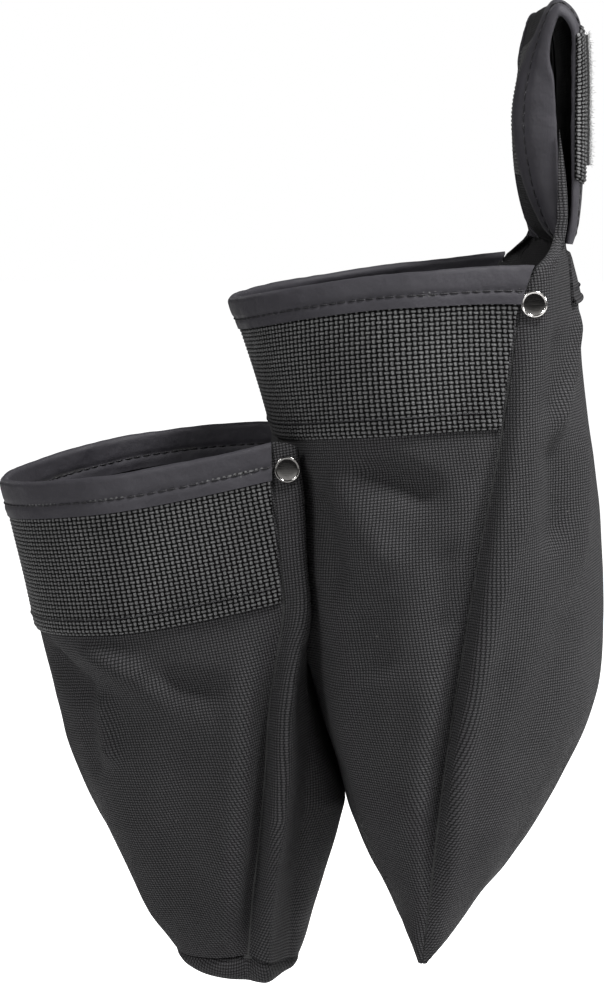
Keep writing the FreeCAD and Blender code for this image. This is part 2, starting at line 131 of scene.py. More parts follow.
LOWER = Pouch(
    "lower",
    -110.3,
    levels(
        (0, 66.0, -98.6, -193.6, -70.0, 2.5, 5.0, 0.0, 0.183, -1.6),
        (13, 66.5, -98.2, -190.6, -70.0, 2.6, 5.0, 0.0, 0.186, -1.6),
        (33, 67.0, -96.2, -185.9, -70.0, 2.6, 5.0, 0.6, 0.186, -1.6),
        (54, 67.0, -94.8, -181.6, -70.0, 2.6, 5.0, 2.0, 0.182, -1.8),
        (70, 66.0, -97.0, -178.5, -70.0, 2.6, 4.5, 3.5, 0.160, -1.0),
        (88, 64.5, -99.8, -174.6, -70.0, 2.6, 4.0, 5.4, 0.130, 0.0),
        (113, 62.0, -101.4, -167.2, -70.0, 2.7, 3.6, 6.8, 0.090, 0.0),
        (138, 57.5, -103.6, -156.8, -75.2, 2.9, 3.4, 6.6, 0.050, 0.0),
        (160, 51.5, -106.0, -146.8, -82.0, 3.4, 3.6, 5.2, 0.020, 0.0),
        (182, 46.5, -107.8, -130.4, -92.0, 4.0, 4.0, 1.5, 0.0, 0.0),
    ),
    0.0,
    177.8,
)
# Each mouth swells out at its sides: distance from the seam, reach and height. The swell ends at SWELL_END.
SWELLS = {"upper": (38.0, 15.0, 3.4), "lower": (56.0, 16.0, 3.2)}
SWELL_END = 84.0
# The left side of each mouth hangs a little differently from the right: its arch, and the droop at its seam,
# which end at LEFT_END.
LEFT_ARCH = {"upper": 0.8, "lower": 2.2}
LEFT_DROOP = {"upper": 0.0, "lower": 3.4}
LEFT_END = 70.0
# The lower bag's bottom edge falls away from its side seams, to the front and more to the back.
HEM_START, HEM_FRONT, HEM_BACK = 145.0, 0.6, 6.4
EAR_POWER = 6

# Points on half a section, half the gap between the panels at an open and a closed seam, and the cloth's sag.
SECTION_STEPS = 140
SEAM_HALF, SEAM_CLOSED, FULL_CREASE = 0.6, 0.08, 2.0
SAG = 1.011

# The gap between the two bags, how much closer they lie where they are sewn, and the drops where that ends.
POUCH_GAP = 1.9
SEWN_CLOSER = 0.85
SEWN_END = (10, 30)
TABLE_X = np.linspace(0, 76, 39)
TABLE_DROPS = np.linspace(30, 230, 101)

# A panel's folds fade in between these distances from its seams, bottom, top and webbing, and the lower back
# panel's also between these drops, where no fold stands out further than SEWN_LIFT.
SEAM_FLAT, BOTTOM_FLAT, TOP_FLAT, WEBBING_FLAT = (0.5, 9), (-6, 8), (1, 12), (-2, 10)
SEWN_FLAT, SEWN_LIFT = (20, 90), 0.6

# The valley along a side seam: how far it reaches on the front side, and the roll behind it.
VALLEY_REACH = 4.4
ROLL_REACH = 2.6
ROLL_AT, ROLL_WIDTH, ROLL_HEIGHT, FULL_ROLL = 6.5, 4.0, 0.9, 5.0

# Behind its side seams the lower bag is drawn in: how far, between which drops this starts, and between which
# distances from the seam.
GUSSET_SINK = 15.0
GUSSET_STARTS = (48, 84)
GUSSET_REACH = (5.8, 14.0)

# Drops of the back panels' top edges: the upper one's neck and shoulder strips, and the lower one's middle
# and corners.
NECK_DROP = -8.6
SHOULDER_TOP, SHOULDER_FALL = -46.5, 845.0
LOWER_BACK_TOP, LOWER_CORNER_TOP, CORNER_SHARE = 8.5, -1.5, 0.16

# Seam allowances: depth at most and per half width, half their thickness, and the drops of their two ends.
ALLOWANCE, ALLOWANCE_SHARE, ALLOWANCE_HALF = 9.0, 0.16, 1.5
ALLOWANCE_SPAN = {"upper": (2, 230.4), "lower": (2, 179.2)}
BASE_SAG = 6.6
# The base from the flap inside the bag to its middle: size of the outline, and share of BASE_SAG below it.
BASE_RINGS = (
    (0.935, -0.8), (0.955, -0.10), (0.975, 0.06), (0.99, 0.2), (1.0, 0.36), (0.995, 0.54), (0.975, 0.72),
    (0.93, 0.87), (0.85, 0.95), (0.7, 0.99), (0.5, 1.0), (0.3, 1.0), (0.1, 1.0), (0.01, 1.0),
)

# The belt loop: its half width in all and where it is flat, how far its edges turn out, and its line (y, z)
# from the foot of its front wall over the crown to the foot of its back wall, in the middle and at its edges.
LOOP_HALF_WIDTH = 60.0
LOOP_FLAT = 52.0
LOOP_REACH = 7.8
LOOP_MIDDLE = (
    (-0.3, -42.0), (-5.6, -35.0), (-10.2, -20.0), (-12.2, -2.0), (-10.6, 14.0), (-7.4, 28.0), (-3.4, 39.0),
    (3.6, 34.0), (5.4, 20.0), (5.8, -2.0), (5.6, -22.0), (4.4, -35.0), (2.3, -42.0),
)
LOOP_EDGE = (
    (-1.2, -42.0), (-2.9, -33.5), (-3.1, -20.0), (-3.8, -4.0), (-4.6, 11.0), (-6.2, 23.0), (-2.8, 34.8),
    (2.2, 30.0), (2.9, 18.0), (2.9, -2.0), (2.9, -20.0), (2.5, -33.5), (1.2, -42.0),
)
# How far the front wall flares forward beside its right edge at each place of LOOP_MIDDLE, the share of that
# by which it lies back beside its left edge, and how far forward the left edge lies.
LOOP_FLARE = (0.0, 1.0, 2.8, 4.1, 3.8, 1.8, 0.0, 0.0, 0.0, 0.0, 0.0, 0.0, 0.0)
LOOP_BACKWARD = 0.55
LOOP_LEFT_EDGE = 1.4

# Where pieces lie along the loop's line, counted in its places.
FRONT_BAND = (2.05, 4.95)
BACK_BAND = (7.25, 10.0)
FASTENER = (7.5, 9.65)
FASTENER_HALF = 50.0
FASTENER_BACKING = 0.8
PILE = 0.7
PILE_HAIRS = 9000
TAIL_TOP, TAIL_FOOT, TAIL_HALF, TAIL_LIFT = -3.0, 12.0, 57.0, 0.3

CAP_RADIUS = 4.4
CAP_BEAD = 0.36
CAP_SPINS = 48
RIVET_PLACE = {"upper": (-11.6, -61.4), "lower": (-93.6, -117.8)}
CAP_LIFT = {"upper": 0.8, "lower": 1.0}

# The studio, in metres: the name, place, size and watts of each soft light, and the camera.
LIGHT_AIM = (0, -0.08, -0.15)
LIGHTS = (
    ("top", (0.55, 0.6, 1.3), 0.4, 50),
    ("right", (0.4, 1.5, 0.5), 0.45, 22),
    ("left", (1.3, -1.0, 0.8), 0.5, 20),
)
CAMERA_EYE = (1.1845, -0.0886, -0.0133)
CAMERA_PITCH = 0.1002
SENSOR, LENS = 36.0, 121.468
# The floor's half size, and how far it is below the pouch, in millimetres.
FLOOR_HALF, FLOOR_BELOW = 9000.0, 90.0


# ---------------------------------------------------------------- walls


def edge_fade(distance, start, full):
    """0 up to start, rising to 1 at full."""
    t = np.clip((distance - start) / (full - start), 0, 1)
    return t * t * (3 - 2 * t)


def run_along(line):
    """The length along a line, from its start to each of its points."""
    return np.concatenate([[0], np.cumsum(np.linalg.norm(np.diff(line, axis=0), axis=1))])


def unit(vectors):
    return vectors / np.maximum(np.linalg.norm(vectors, axis=-1, keepdims=True), 1e-9)


def smooth_curve(values, spots, at):
    """Values at a spot, on smooth curves through rows of values given at the spots."""
    values, spots = np.asarray(values, float), np.asarray(spots, float)
    k = int(np.clip(np.searchsorted(spots, at, side="right") - 1, 0, len(spots) - 2))

    def slope(i):
        low, high = max(i - 1, 0), min(i + 1, len(spots) - 1)
        return (values[high] - values[low]) / (spots[high] - spots[low])

    span = spots[k + 1] - spots[k]
    t = (at - spots[k]) / span
    return (
        values[k] * (2 * t**3 - 3 * t**2 + 1)
        + slope(k) * span * (t**3 - 2 * t**2 + t)
        + values[k + 1] * (3 * t**2 - 2 * t**3)
        + slope(k + 1) * span * (t**3 - t**2)
    )


@lru_cache(maxsize=None)
def level_at(pouch, drop):
    return Level(*smooth_curve(pouch.levels, [level.drop for level in pouch.levels], drop))


def seam_half(row):
    return SEAM_CLOSED + (SEAM_HALF - SEAM_CLOSED) * min(max(row.crease / FULL_CREASE, 0), 1)


def drawn_in(row, side, off):
    """How far the wall is drawn in, off millimetres away from the side seam."""
    if side == FRONT:
        return row.crease * np.exp(-((off / VALLEY_REACH) ** 1.4))
    roll = ROLL_HEIGHT * min(row.crease / FULL_ROLL, 1.0) * np.exp(-(((off - ROLL_AT) / ROLL_WIDTH) ** 2))
    return row.crease * np.exp(-((off / ROLL_REACH) ** 1.6)) - roll


@lru_cache(maxsize=None)
def upper_front_table():
    """The upper pouch's front wall as columns of y and z at even steps of x."""
    rows = []
    for drop in TABLE_DROPS:
        x, y, z = raw_section(UPPER, FRONT, drop)
        order = np.argsort(x)
        rows.append([np.interp(TABLE_X, x[order], line[order]) for line in (y, z)])
    table = np.array(rows)
    return table[:, 0], table[:, 1]


def upper_front_y(x, z):
    """Where the upper pouch's front wall lies along Y at each x and height z."""
    ys, zs = upper_front_table()
    spot = np.clip(x / TABLE_X[-1], 0, 1) * (len(TABLE_X) - 1)
    low = np.minimum(spot.astype(int), len(TABLE_X) - 2)
    part = spot - low
    ends = [[np.interp(h, zs[::-1, j], ys[::-1, j]) for h, j in zip(z, low + k)] for k in (0, 1)]
    return np.array(ends[0]) * (1 - part) + np.array(ends[1]) * part


def raw_section(pouch, side, drop):
    """The right half of a panel's line at one drop, from the seam to the centre: arrays of x, y and z."""
    row = level_at(pouch, drop)
    square = row.front_square if side == FRONT else row.back_square
    half = seam_half(row)
    seam = row.seam + (-half if side == FRONT else half)
    turn = np.pi / 2 * np.linspace(0, 1, SECTION_STEPS + 1) ** (square / 2)
    x = row.half_width * np.maximum(np.cos(turn), 0) ** (2 / square)
    rise = np.sin(turn) ** (2 / square)
    far = np.full_like(x, row.front if side == FRONT else row.back)
    if pouch is LOWER and side == BACK:
        full, gap = x, POUCH_GAP - SEWN_CLOSER * (1 - edge_fade(drop, *SEWN_END))
        sunk = GUSSET_SINK * edge_fade(drop, *GUSSET_STARTS) / row.half_width
        for _ in range(3):
            x = full * (1 - sunk * edge_fade((far - seam) * rise, *GUSSET_REACH))
            z = pouch.rim - drop * SAG + row.tilt * (far - row.seam)
            far = np.minimum(row.back, upper_front_y(x, z) - gap)
    y = seam + (far - seam) * rise
    x = np.maximum(x - drawn_in(row, side, np.abs(y - seam)), 0)
    ear = pouch.ear * (drop / pouch.levels[-1].drop) ** 4 * (x / row.half_width) ** EAR_POWER
    part = (y - row.seam) / (far - row.seam)
    z = pouch.rim - drop * SAG + row.tilt * (y - row.seam) - np.maximum(ear, 0)
    if side == FRONT:
        z += row.arch * 4 * part * (1 - part)
    if pouch is LOWER:
        z -= (HEM_FRONT if side == FRONT else HEM_BACK) * part * edge_fade(drop, HEM_START, pouch.bottom) ** 2
    return x, y, z


@lru_cache(maxsize=None)
def section(pouch, side, drop):
    """The right half section with the length from the seam to each of its points."""
    line = np.stack(raw_section(pouch, side, drop), axis=1)
    return line, run_along(line)


def wall_row(pouch, side, shares, drop):
    """Points along a row of a wall, from share 0 at its right seam to 1, and how far each is off the middle."""
    line, run = section(pouch, side, float(drop))
    shares = np.asarray(shares)
    along = run[-1] * 2 * np.minimum(shares, 1 - shares)
    points = np.stack([np.interp(along, run, line[:, i]) for i in range(3)], axis=1)
    if side == FRONT:
        place, reach, height = SWELLS[pouch.name]
        swell = height * np.exp(-(((along - place) / reach) ** 2)) * edge_fade(along, 0, 20)
        swell *= 1 - edge_fade(drop, SWELL_END / 2, SWELL_END)
        points[:, 0] += swell * edge_fade(points[:, 0], 0, 20)
    points[:, 0] *= np.where(shares <= 0.5, 1, -1)
    if side == FRONT:
        row = level_at(pouch, drop)
        part = np.clip((points[:, 1] - row.seam) / (row.front - row.seam), 0, 1)
        lift = (LEFT_ARCH[pouch.name] - row.arch) * 4 * part * (1 - part)
        lift -= LEFT_DROOP[pouch.name] * (1 - part) ** 2
        points[:, 2] += lift * edge_fade(-points[:, 0], 0, 30) * (1 - edge_fade(drop, 0, LEFT_END))
    return points, run[-1] * (2 * shares - 1)


def seam_shares(low, high, count, evenness=0.45):
    """Shares from low to high, closer together near the two seams."""
    t = np.linspace(0, 1, count)
    return low + (high - low) * (evenness * t + (1 - evenness) * (1 - np.cos(np.pi * t)) / 2)


def wall_grid(pouch, side, shares, drops):
    """A grid of wall points, in the order that turns its normals outward, and its cloth coordinates."""
    rows, across = zip(*(wall_row(pouch, side, shares, drop) for drop in drops))
    grid = np.array(rows)
    down = run_along(grid[:, len(shares) // 2]) + drops[0]
    uv = np.stack([np.array(across), np.repeat(down[:, None], len(shares), axis=1)], axis=2)
    if side == BACK:
        grid, uv = grid[:, ::-1], uv[:, ::-1]
    return grid, uv


def loop_turn(across):
    """How far the loop's wall has turned into its side edge, 0 to 1, and its x there."""
    t = np.clip((abs(across) - LOOP_FLAT) / (LOOP_HALF_WIDTH - LOOP_FLAT), 0, 1)
    x = min(abs(across), LOOP_FLAT) + LOOP_REACH * (1 - (1 - t) ** 1.8)
    return t**1.6, math.copysign(x, across)


@lru_cache(maxsize=None)
def loop_line(across):
    """The belt loop's line at one place across it, from the foot of its front wall over the crown."""
    turn, _ = loop_turn(across)
    knots = np.array(LOOP_MIDDLE) * (1 - turn) + np.array(LOOP_EDGE) * turn
    flare = edge_fade(across, 0, LOOP_FLAT) - LOOP_BACKWARD * edge_fade(-across, 0, LOOP_FLAT)
    knots[:, 0] -= np.array(LOOP_FLARE) * (1 - turn) * flare
    if across < 0:
        knots[:, 0] -= LOOP_LEFT_EDGE * turn
    spots = range(len(knots))
    alongs = np.linspace(0, len(knots) - 1, 241)
    return alongs, np.array([smooth_curve(knots, spots, a) for a in alongs])


def loop_row(across, alongs):
    spots, line = loop_line(float(across))
    y, z = (np.interp(alongs, spots, line[:, i]) for i in (0, 1))
    return np.stack([np.full_like(y, loop_turn(across)[1]), y, z], axis=1)


def loop_grid(alongs, xs):
    """A grid on the belt loop, rows along it and columns across it, with normals out of the tunnel."""
    grid = np.stack([loop_row(x, alongs) for x in xs], axis=1)
    run = run_along(grid[:, len(xs) // 2])
    return grid, np.stack(np.meshgrid(xs, run), axis=2)


# ---------------------------------------------------------------- folds in the cloth

# A soft fold on a panel's half: start and end are (millimetres from the side seam, drop), height is how far
# the cloth stands out, and above and below are its reach on the two sides of its line.
Fold = namedtuple("Fold", "half start end height above below")


def fold_table(*right, left):
    """Folds from rows of values, the right half's first."""
    return [Fold(half, *row) for half, rows in ((RIGHT, right), (LEFT, left)) for row in rows]


LOWER_FOLDS = fold_table(
    ((74, 53), (38, 75), 5.7, 4.5, 6),
    ((50, 68), (18, 77), -3.4, 4, 5),
    ((100, 60), (68, 75), -5.4, 5, 6),
    ((62, 74), (57, 98), 3.5, 4, 4),
    ((72, 80), (68, 104), -2.7, 5, 5),
    ((92, 84), (86, 130), 1.0, 8, 8),
    ((12, 66), (10, 165), 3.0, 6, 6),
    ((32, 92), (22, 160), -2.2, 9, 9),
    ((50, 116), (38, 165), 1.6, 8, 8),
    left=(
        ((76, 58), (30, 78), 3.8, 6, 6),
        ((56, 72), (22, 76), -3.4, 6, 7),
        ((92, 74), (64, 98), 2.7, 6, 5),
        ((12, 66), (10, 165), 2.1, 6, 6),
        ((40, 110), (24, 160), -1.4, 8, 8),
    ),
)
UPPER_FOLDS = fold_table(
    ((46, 55), (19, 70), -4.9, 5, 6),
    ((57, 60), (30, 92), 4.1, 7, 7),
    ((64, 66), (50, 98), -3.5, 6, 6),
    ((82, 72), (74, 130), 2.4, 8, 8),
    ((36, 104), (30, 128), -3.0, 8, 8),
    ((13, 86), (8, 116), -2.2, 6, 6),
    ((12, 126), (8, 180), 2.2, 6, 6),
    ((50, 128), (28, 190), 1.9, 9, 9),
    left=(
        ((64, 58), (34, 76), -4.6, 6, 7),
        ((58, 70), (24, 100), 3.2, 8, 8),
        ((50, 124), (28, 190), -2.4, 9, 9),
    ),
)
UPPER_BACK_FOLDS = fold_table(
    ((28, 16), (19, 56), 3.4, 4, 5),
    ((12, 22), (12, 50), -2.2, 5, 5),
    ((17, 58), (28, 94), -4.6, 7, 7),
    ((38, 54), (46, 104), 3.2, 8, 8),
    ((8, 70), (8, 190), 1.6, 5, 5),
    ((44, 118), (30, 168), -2.4, 10, 10),
    left=(
        ((26, 12), (20, 60), 4.1, 4, 5),
        ((18, 62), (30, 98), -4.1, 7, 7),
        ((40, 60), (52, 112), 3.0, 9, 9),
        ((46, 124), (36, 172), -2.4, 10, 10),
    ),
)
LOWER_BACK_FOLDS = fold_table(
    ((9, 12), (10, 56), 1.2, 3, 4),
    ((4, 55), (16, 64), 1.5, 3, 4),
    left=(((9, 12), (10, 56), 1.2, 3, 4),),
)


def fold_heights(uv, inward, folds):
    """How far the folds lift each point. inward is each point's distance from the nearer side seam."""
    total = np.zeros(uv.shape[:2])
    for fold in folds:
        (s0, d0), (s1, d1) = fold.start, fold.end
        long = math.hypot(s1 - s0, d1 - d0)
        ux, uy = (s1 - s0) / long, (d1 - d0) / long
        along = ((inward - s0) * ux + (uv[..., 1] - d0) * uy) / long
        across = (inward - s0) * -uy + (uv[..., 1] - d0) * ux
        if ux < 0:
            across = -across
        width = np.where(across < 0, fold.above, fold.below)
        ends = np.exp(-((np.maximum(0, np.abs(along - 0.5) - 0.32) / 0.2) ** 2))
        mine = np.where(uv[..., 0] * fold.half <= 0, 1.0, 0.0)
        total += mine * fold.height * ends * np.exp(-((across / width) ** 2))
    return total


def rumple(grid, seed, size, height):
    """Smooth random unevenness of one size and height in millimetres, the same on each run."""
    shift = Vector((seed * 17.3, seed * 5.1, seed * 9.7))
    flat = grid.reshape(-1, 3) / size
    values = [noise.noise(Vector(p) + shift) for p in flat.tolist()]
    return height * np.array(values).reshape(grid.shape[:2])


# ---------------------------------------------------------------- meshes


def normals(grid):
    return unit(np.cross(np.gradient(grid, axis=1), np.gradient(grid, axis=0)))


def grid_faces(rows, columns, first, flip=False):
    a = first + np.arange(rows * columns).reshape(rows, columns)
    quads = np.stack([a[:-1, :-1], a[:-1, 1:], a[1:, 1:], a[1:, :-1]], axis=-1).reshape(-1, 4)
    return quads if flip else quads[:, ::-1]


def ring_faces(index):
    """Quads between rings of points. index has one ring in each row of its last axis."""
    after = np.roll(index, -1, axis=-1)
    corners = [index[..., :-1, :], after[..., :-1, :], after[..., 1:, :], index[..., 1:, :]]
    return np.stack(corners, axis=-1).reshape(-1, 4)


def settle(obj, slot, body, *nodes):
    """Hide the CAD nodes that a piece stands in for and hang the piece on the body that it rides on. slot is
    not used.
    """
    if nodes:
        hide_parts(*nodes)
    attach(obj, body)


def make_mesh(name, points, faces, material, uv=None):
    """An object from points in millimetres, with cloth coordinates in metres."""
    mesh = bpy.data.meshes.new(name)
    faces = faces if isinstance(faces, list) else faces.tolist()
    mesh.from_pydata((np.asarray(points) * MM).tolist(), [], faces)
    if uv is not None:
        corner = np.empty(len(mesh.loops), dtype=np.int32)
        mesh.loops.foreach_get("vertex_index", corner)
        layer = mesh.uv_layers.new(name="cloth")
        layer.data.foreach_set("uv", (np.asarray(uv)[corner] * MM).astype(np.float32).ravel())
    mesh.polygons.foreach_set("use_smooth", np.ones(len(mesh.polygons), dtype=bool))
    mesh.materials.append(material)
    mesh.validate()
    obj = bpy.data.objects.new(name, mesh)
    bpy.context.scene.collection.objects.link(obj)
    return obj


def thick_sheet(name, grid, uv, inner, outer, material, lining=None):
    """A closed sheet between two copies of a grid, moved along its normals."""
    rows, columns = grid.shape[:2]
    normal = normals(grid)
    count = rows * columns
    inner = np.broadcast_to(np.asarray(inner, float), grid.shape[:2])[..., None]
    outer = np.broadcast_to(np.asarray(outer, float), grid.shape[:2])[..., None]
    points = np.concatenate([(grid + normal * outer).reshape(-1, 3), (grid + normal * inner).reshape(-1, 3)])
    index = np.arange(count).reshape(rows, columns)
    border = np.concatenate([index[0, :], index[1:, -1], index[-1, -2::-1], index[-2:0:-1, 0]])
    after = np.roll(border, -1)
    rim = np.stack([border, after, after + count, border + count], axis=1)
    faces = np.concatenate([
        grid_faces(rows, columns, 0), grid_faces(rows, columns, count, flip=True), rim,
    ])
    flat_uv = uv.reshape(-1, 2)
    obj = make_mesh(name, points, faces, material, np.concatenate([flat_uv, flat_uv]))
    if lining:
        obj.data.materials.append(lining)
        which = np.zeros(len(faces), dtype=np.int32)
        quads = (rows - 1) * (columns - 1)
        which[quads:2 * quads] = 1
        obj.data.polygons.foreach_set("material_index", which)
    obj.data.set_sharp_from_angle(angle=math.radians(50))
    return obj


def cloth_sheet(name, grid, uv):
    """One layer of pack cloth, coated on its inner face."""
    return thick_sheet(name, grid, uv, -CLOTH / 2, CLOTH / 2, CLOTH_OUT, LINING)


def tubes(name, lines, outs, radius, material, sides=6):
    """Round threads along many short lines. lines and outs are arrays (thread, point, 3)."""
    lines, outs = np.asarray(lines, float), np.asarray(outs, float)
    tangent = unit(np.gradient(lines, axis=1))
    side = unit(np.cross(tangent, outs))
    up = np.cross(side, tangent)
    angles = np.linspace(0, 2 * np.pi, sides, endpoint=False)[:, None]
    ring = side[:, :, None] * np.cos(angles) + up[:, :, None] * np.sin(angles)
    points = lines[:, :, None] + ring * radius
    index = np.arange(points[..., 0].size).reshape(points.shape[:3])
    return make_mesh(name, points.reshape(-1, 3), ring_faces(index), material)


def stitches(name, path, outs, material, length=2.9, gap=0.7, radius=0.24, sink=0.22):
    """A row of lockstitches along a dense path. Each one's ends go down into the cloth."""
    run = run_along(path)
    count = int(run[-1] // (length + gap))
    steps = np.linspace(0, 1, 7)
    rise = radius + sink * 2.2 * (np.sin(np.pi * steps) ** 0.6 - 0.75)
    lines, ups = [], []
    for i in range(count):
        wander = 0.06 * math.sin(i * 2.3) + 0.04 * math.sin(i * 5.9)
        at = (i + 0.15 + wander) * (length + gap) + length * steps
        point = np.stack([np.interp(at, run, path[:, k]) for k in range(3)], axis=1)
        out = np.stack([np.interp(at, run, outs[:, k]) for k in range(3)], axis=1)
        lines.append(point + out * rise[:, None])
        ups.append(out)
    return tubes(name, lines, ups, radius, material)


# ---------------------------------------------------------------- materials


class Shader:
    """A material's node tree, with short calls that add and join nodes."""

    def __init__(self, name):
        self.material = bpy.data.materials.new(name)
        self.material.use_nodes = True
        self.tree = self.material.node_tree
        self.bsdf = self.tree.nodes["Principled BSDF"]

    def add(self, kind, **inputs):
        """A node. Keyword names are input names, with _ for a space, or node properties written as p_name."""
        node = self.tree.nodes.new(kind)
        for key, value in inputs.items():
            if key.startswith("p_"):
                setattr(node, key[2:], value)
        for key, value in inputs.items():
            if not key.startswith("p_"):
                self.put(node.inputs[key.replace("_", " ")], value)
        return node

    def put(self, socket, value):
        if isinstance(value, bpy.types.NodeSocket):
            self.tree.links.new(value, socket)
        else:
            socket.default_value = value

    def math(self, operation, a, b=0.0):
        node = self.tree.nodes.new("ShaderNodeMath")
        node.operation = operation
        self.put(node.inputs[0], a)
        self.put(node.inputs[1], b)
        return node.outputs[0]

    def mix(self, factor, a, b):
        node = self.tree.nodes.new("ShaderNodeMix")
        node.data_type = "RGBA"
        self.put(node.inputs["Factor"], factor)
        self.put(node.inputs["A"], a)
        self.put(node.inputs["B"], b)
        return node.outputs["Result"]

    def ramp(self, factor, low, high, low_value=0.0, high_value=1.0):
        node = self.tree.nodes.new("ShaderNodeMapRange")
        node.interpolation_type = "SMOOTHSTEP"
        ends = {"Value": factor, "From Min": low, "From Max": high, "To Min": low_value, "To Max": high_value}
        for key, value in ends.items():
            self.put(node.inputs[key], value)
        return node.outputs["Result"]

    def noise(self, vector, scale, detail=3.0, rough=0.55):
        node = self.add("ShaderNodeTexNoise", Vector=vector, Scale=scale, Detail=detail, Roughness=rough)
        return node.outputs["Fac"]

    def cloth_uv(self):
        return self.add("ShaderNodeUVMap", p_uv_map="cloth").outputs["UV"]

    def place(self):
        return self.add("ShaderNodeTexCoord").outputs["Object"]

    def bump(self, height, distance, strength=1.0, under=None):
        node = self.add("ShaderNodeBump", Height=height, Distance=distance, Strength=strength)
        if under:
            self.put(node.inputs["Normal"], under)
        return node.outputs["Normal"]

    def bow(self, place):
        """The round of one yarn, from 0 at its edges to 1 on its top."""
        middle = self.math("SUBTRACT", self.math("FRACT", place), 0.5)
        return self.math("COSINE", self.math("MULTIPLY", middle, math.pi))

    def weave(self, pitch_u, pitch_v, wobble):
        """Height of a plain weave, 0 in the holes and 1 on the yarns' tops. Pitches are metres per yarn."""
        uv = self.cloth_uv()
        drift = self.add("ShaderNodeTexNoise", Vector=uv, Scale=45.0, Detail=2.0).outputs["Color"]
        drift = self.add("ShaderNodeVectorMath", p_operation="SUBTRACT", Vector=drift)
        drift.inputs[1].default_value = (0.5, 0.5, 0.5)
        scaled = self.add("ShaderNodeVectorMath", p_operation="SCALE", Vector=drift.outputs[0], Scale=wobble)
        moved = self.add("ShaderNodeVectorMath", p_operation="ADD", Vector=uv)
        self.put(moved.inputs[1], scaled.outputs[0])
        split = self.add("ShaderNodeSeparateXYZ", Vector=moved.outputs[0])
        u = self.math("DIVIDE", split.outputs["X"], pitch_u)
        v = self.math("DIVIDE", split.outputs["Y"], pitch_v)
        bow_u, bow_v = self.bow(u), self.bow(v)
        cell = self.math("ADD", self.math("FLOOR", u), self.math("FLOOR", v))
        odd = self.math("MULTIPLY", self.math("FRACT", self.math("MULTIPLY", cell, 0.5)), 2.0)
        warp = self.math("MULTIPLY", bow_u, self.math("ADD", self.math("MULTIPLY", bow_v, 0.45), 0.55))
        weft = self.math("MULTIPLY", bow_v, self.math("ADD", self.math("MULTIPLY", bow_u, 0.45), 0.55))
        over = self.math("MULTIPLY", warp, odd)
        under = self.math("MULTIPLY", weft, self.math("SUBTRACT", 1.0, odd))
        return self.math("ADD", over, under)

    def finish(self, **inputs):
        for key, value in inputs.items():
            self.put(self.bsdf.inputs[key.replace("_", " ")], value)
        return self.material


def woven_cloth():
    """Coarse black pack cloth: plain weave, dull, uneven where it rubs, a few lint specks, painted shade in the
    holes.
    """
    s = Shader("pack_cloth")
    # gap is the painted shade colour of the holes between the yarns.
    gap, yarn, worn = (0.010, 0.010, 0.0105, 1), (0.036, 0.035, 0.037, 1), (0.031, 0.030, 0.031, 1)
    place = s.place()
    height = s.weave(CLOTH_WARP * MM, CLOTH_WEFT * MM, 0.0006)
    patches = s.ramp(s.noise(place, 26.0, 4.0), 0.35, 0.75, 0.0, 0.5)
    fibre = s.ramp(s.noise(place, 1700.0, 2.0), 0.3, 0.75, 0.0, 0.7)
    thread = s.mix(fibre, s.mix(patches, yarn, worn), (0.056, 0.055, 0.057, 1))
    # Painted shade: the holes between the yarns are painted much darker than the yarns.
    colour = s.mix(s.ramp(height, 0.25, 0.95), gap, thread)
    lint = s.ramp(s.noise(place, 420.0, 1.0), 0.80, 0.86, 0.0, 0.35)
    colour = s.mix(lint, colour, (0.16, 0.155, 0.15, 1))
    rough = s.ramp(s.noise(place, 60.0), 0.3, 0.7, 0.62, 0.8)
    soft = s.bump(s.noise(place, 300.0, 3.0), 0.00012)
    normal = s.bump(height, 0.0003, 1.0, soft)
    gloss = s.ramp(height, 0.2, 0.9, 0.05, 0.14)
    return s.finish(
        Base_Color=colour, Roughness=rough, Normal=normal, Specular_IOR_Level=gloss,
        Sheen_Weight=0.015, Sheen_Roughness=0.45,
    )


def coated_lining():
    """The cloth's inside: a dull rubbery coat over the weave."""
    s = Shader("coated_lining")
    place = s.place()
    height = s.weave(CLOTH_WARP * MM, CLOTH_WEFT * MM, 0.0003)
    colour = s.mix(s.noise(place, 40.0), (0.016, 0.0155, 0.016, 1), (0.030, 0.029, 0.030, 1))
    rough = s.ramp(s.noise(place, 90.0), 0.3, 0.7, 0.5, 0.66)
    normal = s.bump(height, 0.0001)
    return s.finish(Base_Color=colour, Roughness=rough, Normal=normal, Specular_IOR_Level=0.22)


def webbing_cloth():
    """Thick round yarns with deep holes between them, painted near black as shade, and tops partly painted
    highlight.
    """
    s = Shader("webbing_cloth")
    place = s.place()
    height = s.weave(WEB_WARP * MM, WEB_WEFT * MM, 0.0)
    fibres = s.noise(place, 2600.0, 2.0)
    # Painted highlight in part: the pale fibre streaks on the yarn tops are partly the fibres' own tone, partly
    # light on the yarns.
    top = s.mix(s.ramp(fibres, 0.4, 0.75, 0.0, 0.8), (0.066, 0.066, 0.067, 1), (0.19, 0.19, 0.19, 1))
    top = s.mix(s.ramp(s.noise(place, 35.0), 0.35, 0.7, 0.0, 0.5), top, (0.05, 0.05, 0.051, 1))
    # Painted shade: the holes between the yarns are painted near black.
    colour = s.mix(s.ramp(height, 0.36, 0.9), (0.002, 0.002, 0.002, 1), top)
    rough = s.ramp(s.noise(place, 400.0), 0.3, 0.7, 0.4, 0.55)
    normal = s.bump(height, 0.0007, 0.9, s.bump(fibres, 0.00006))
    gloss = s.ramp(height, 0.4, 0.9, 0.05, 0.36)
    return s.finish(
        Base_Color=colour, Roughness=rough, Normal=normal, Specular_IOR_Level=gloss,
        Sheen_Weight=0.01, Sheen_Roughness=0.4,
    )


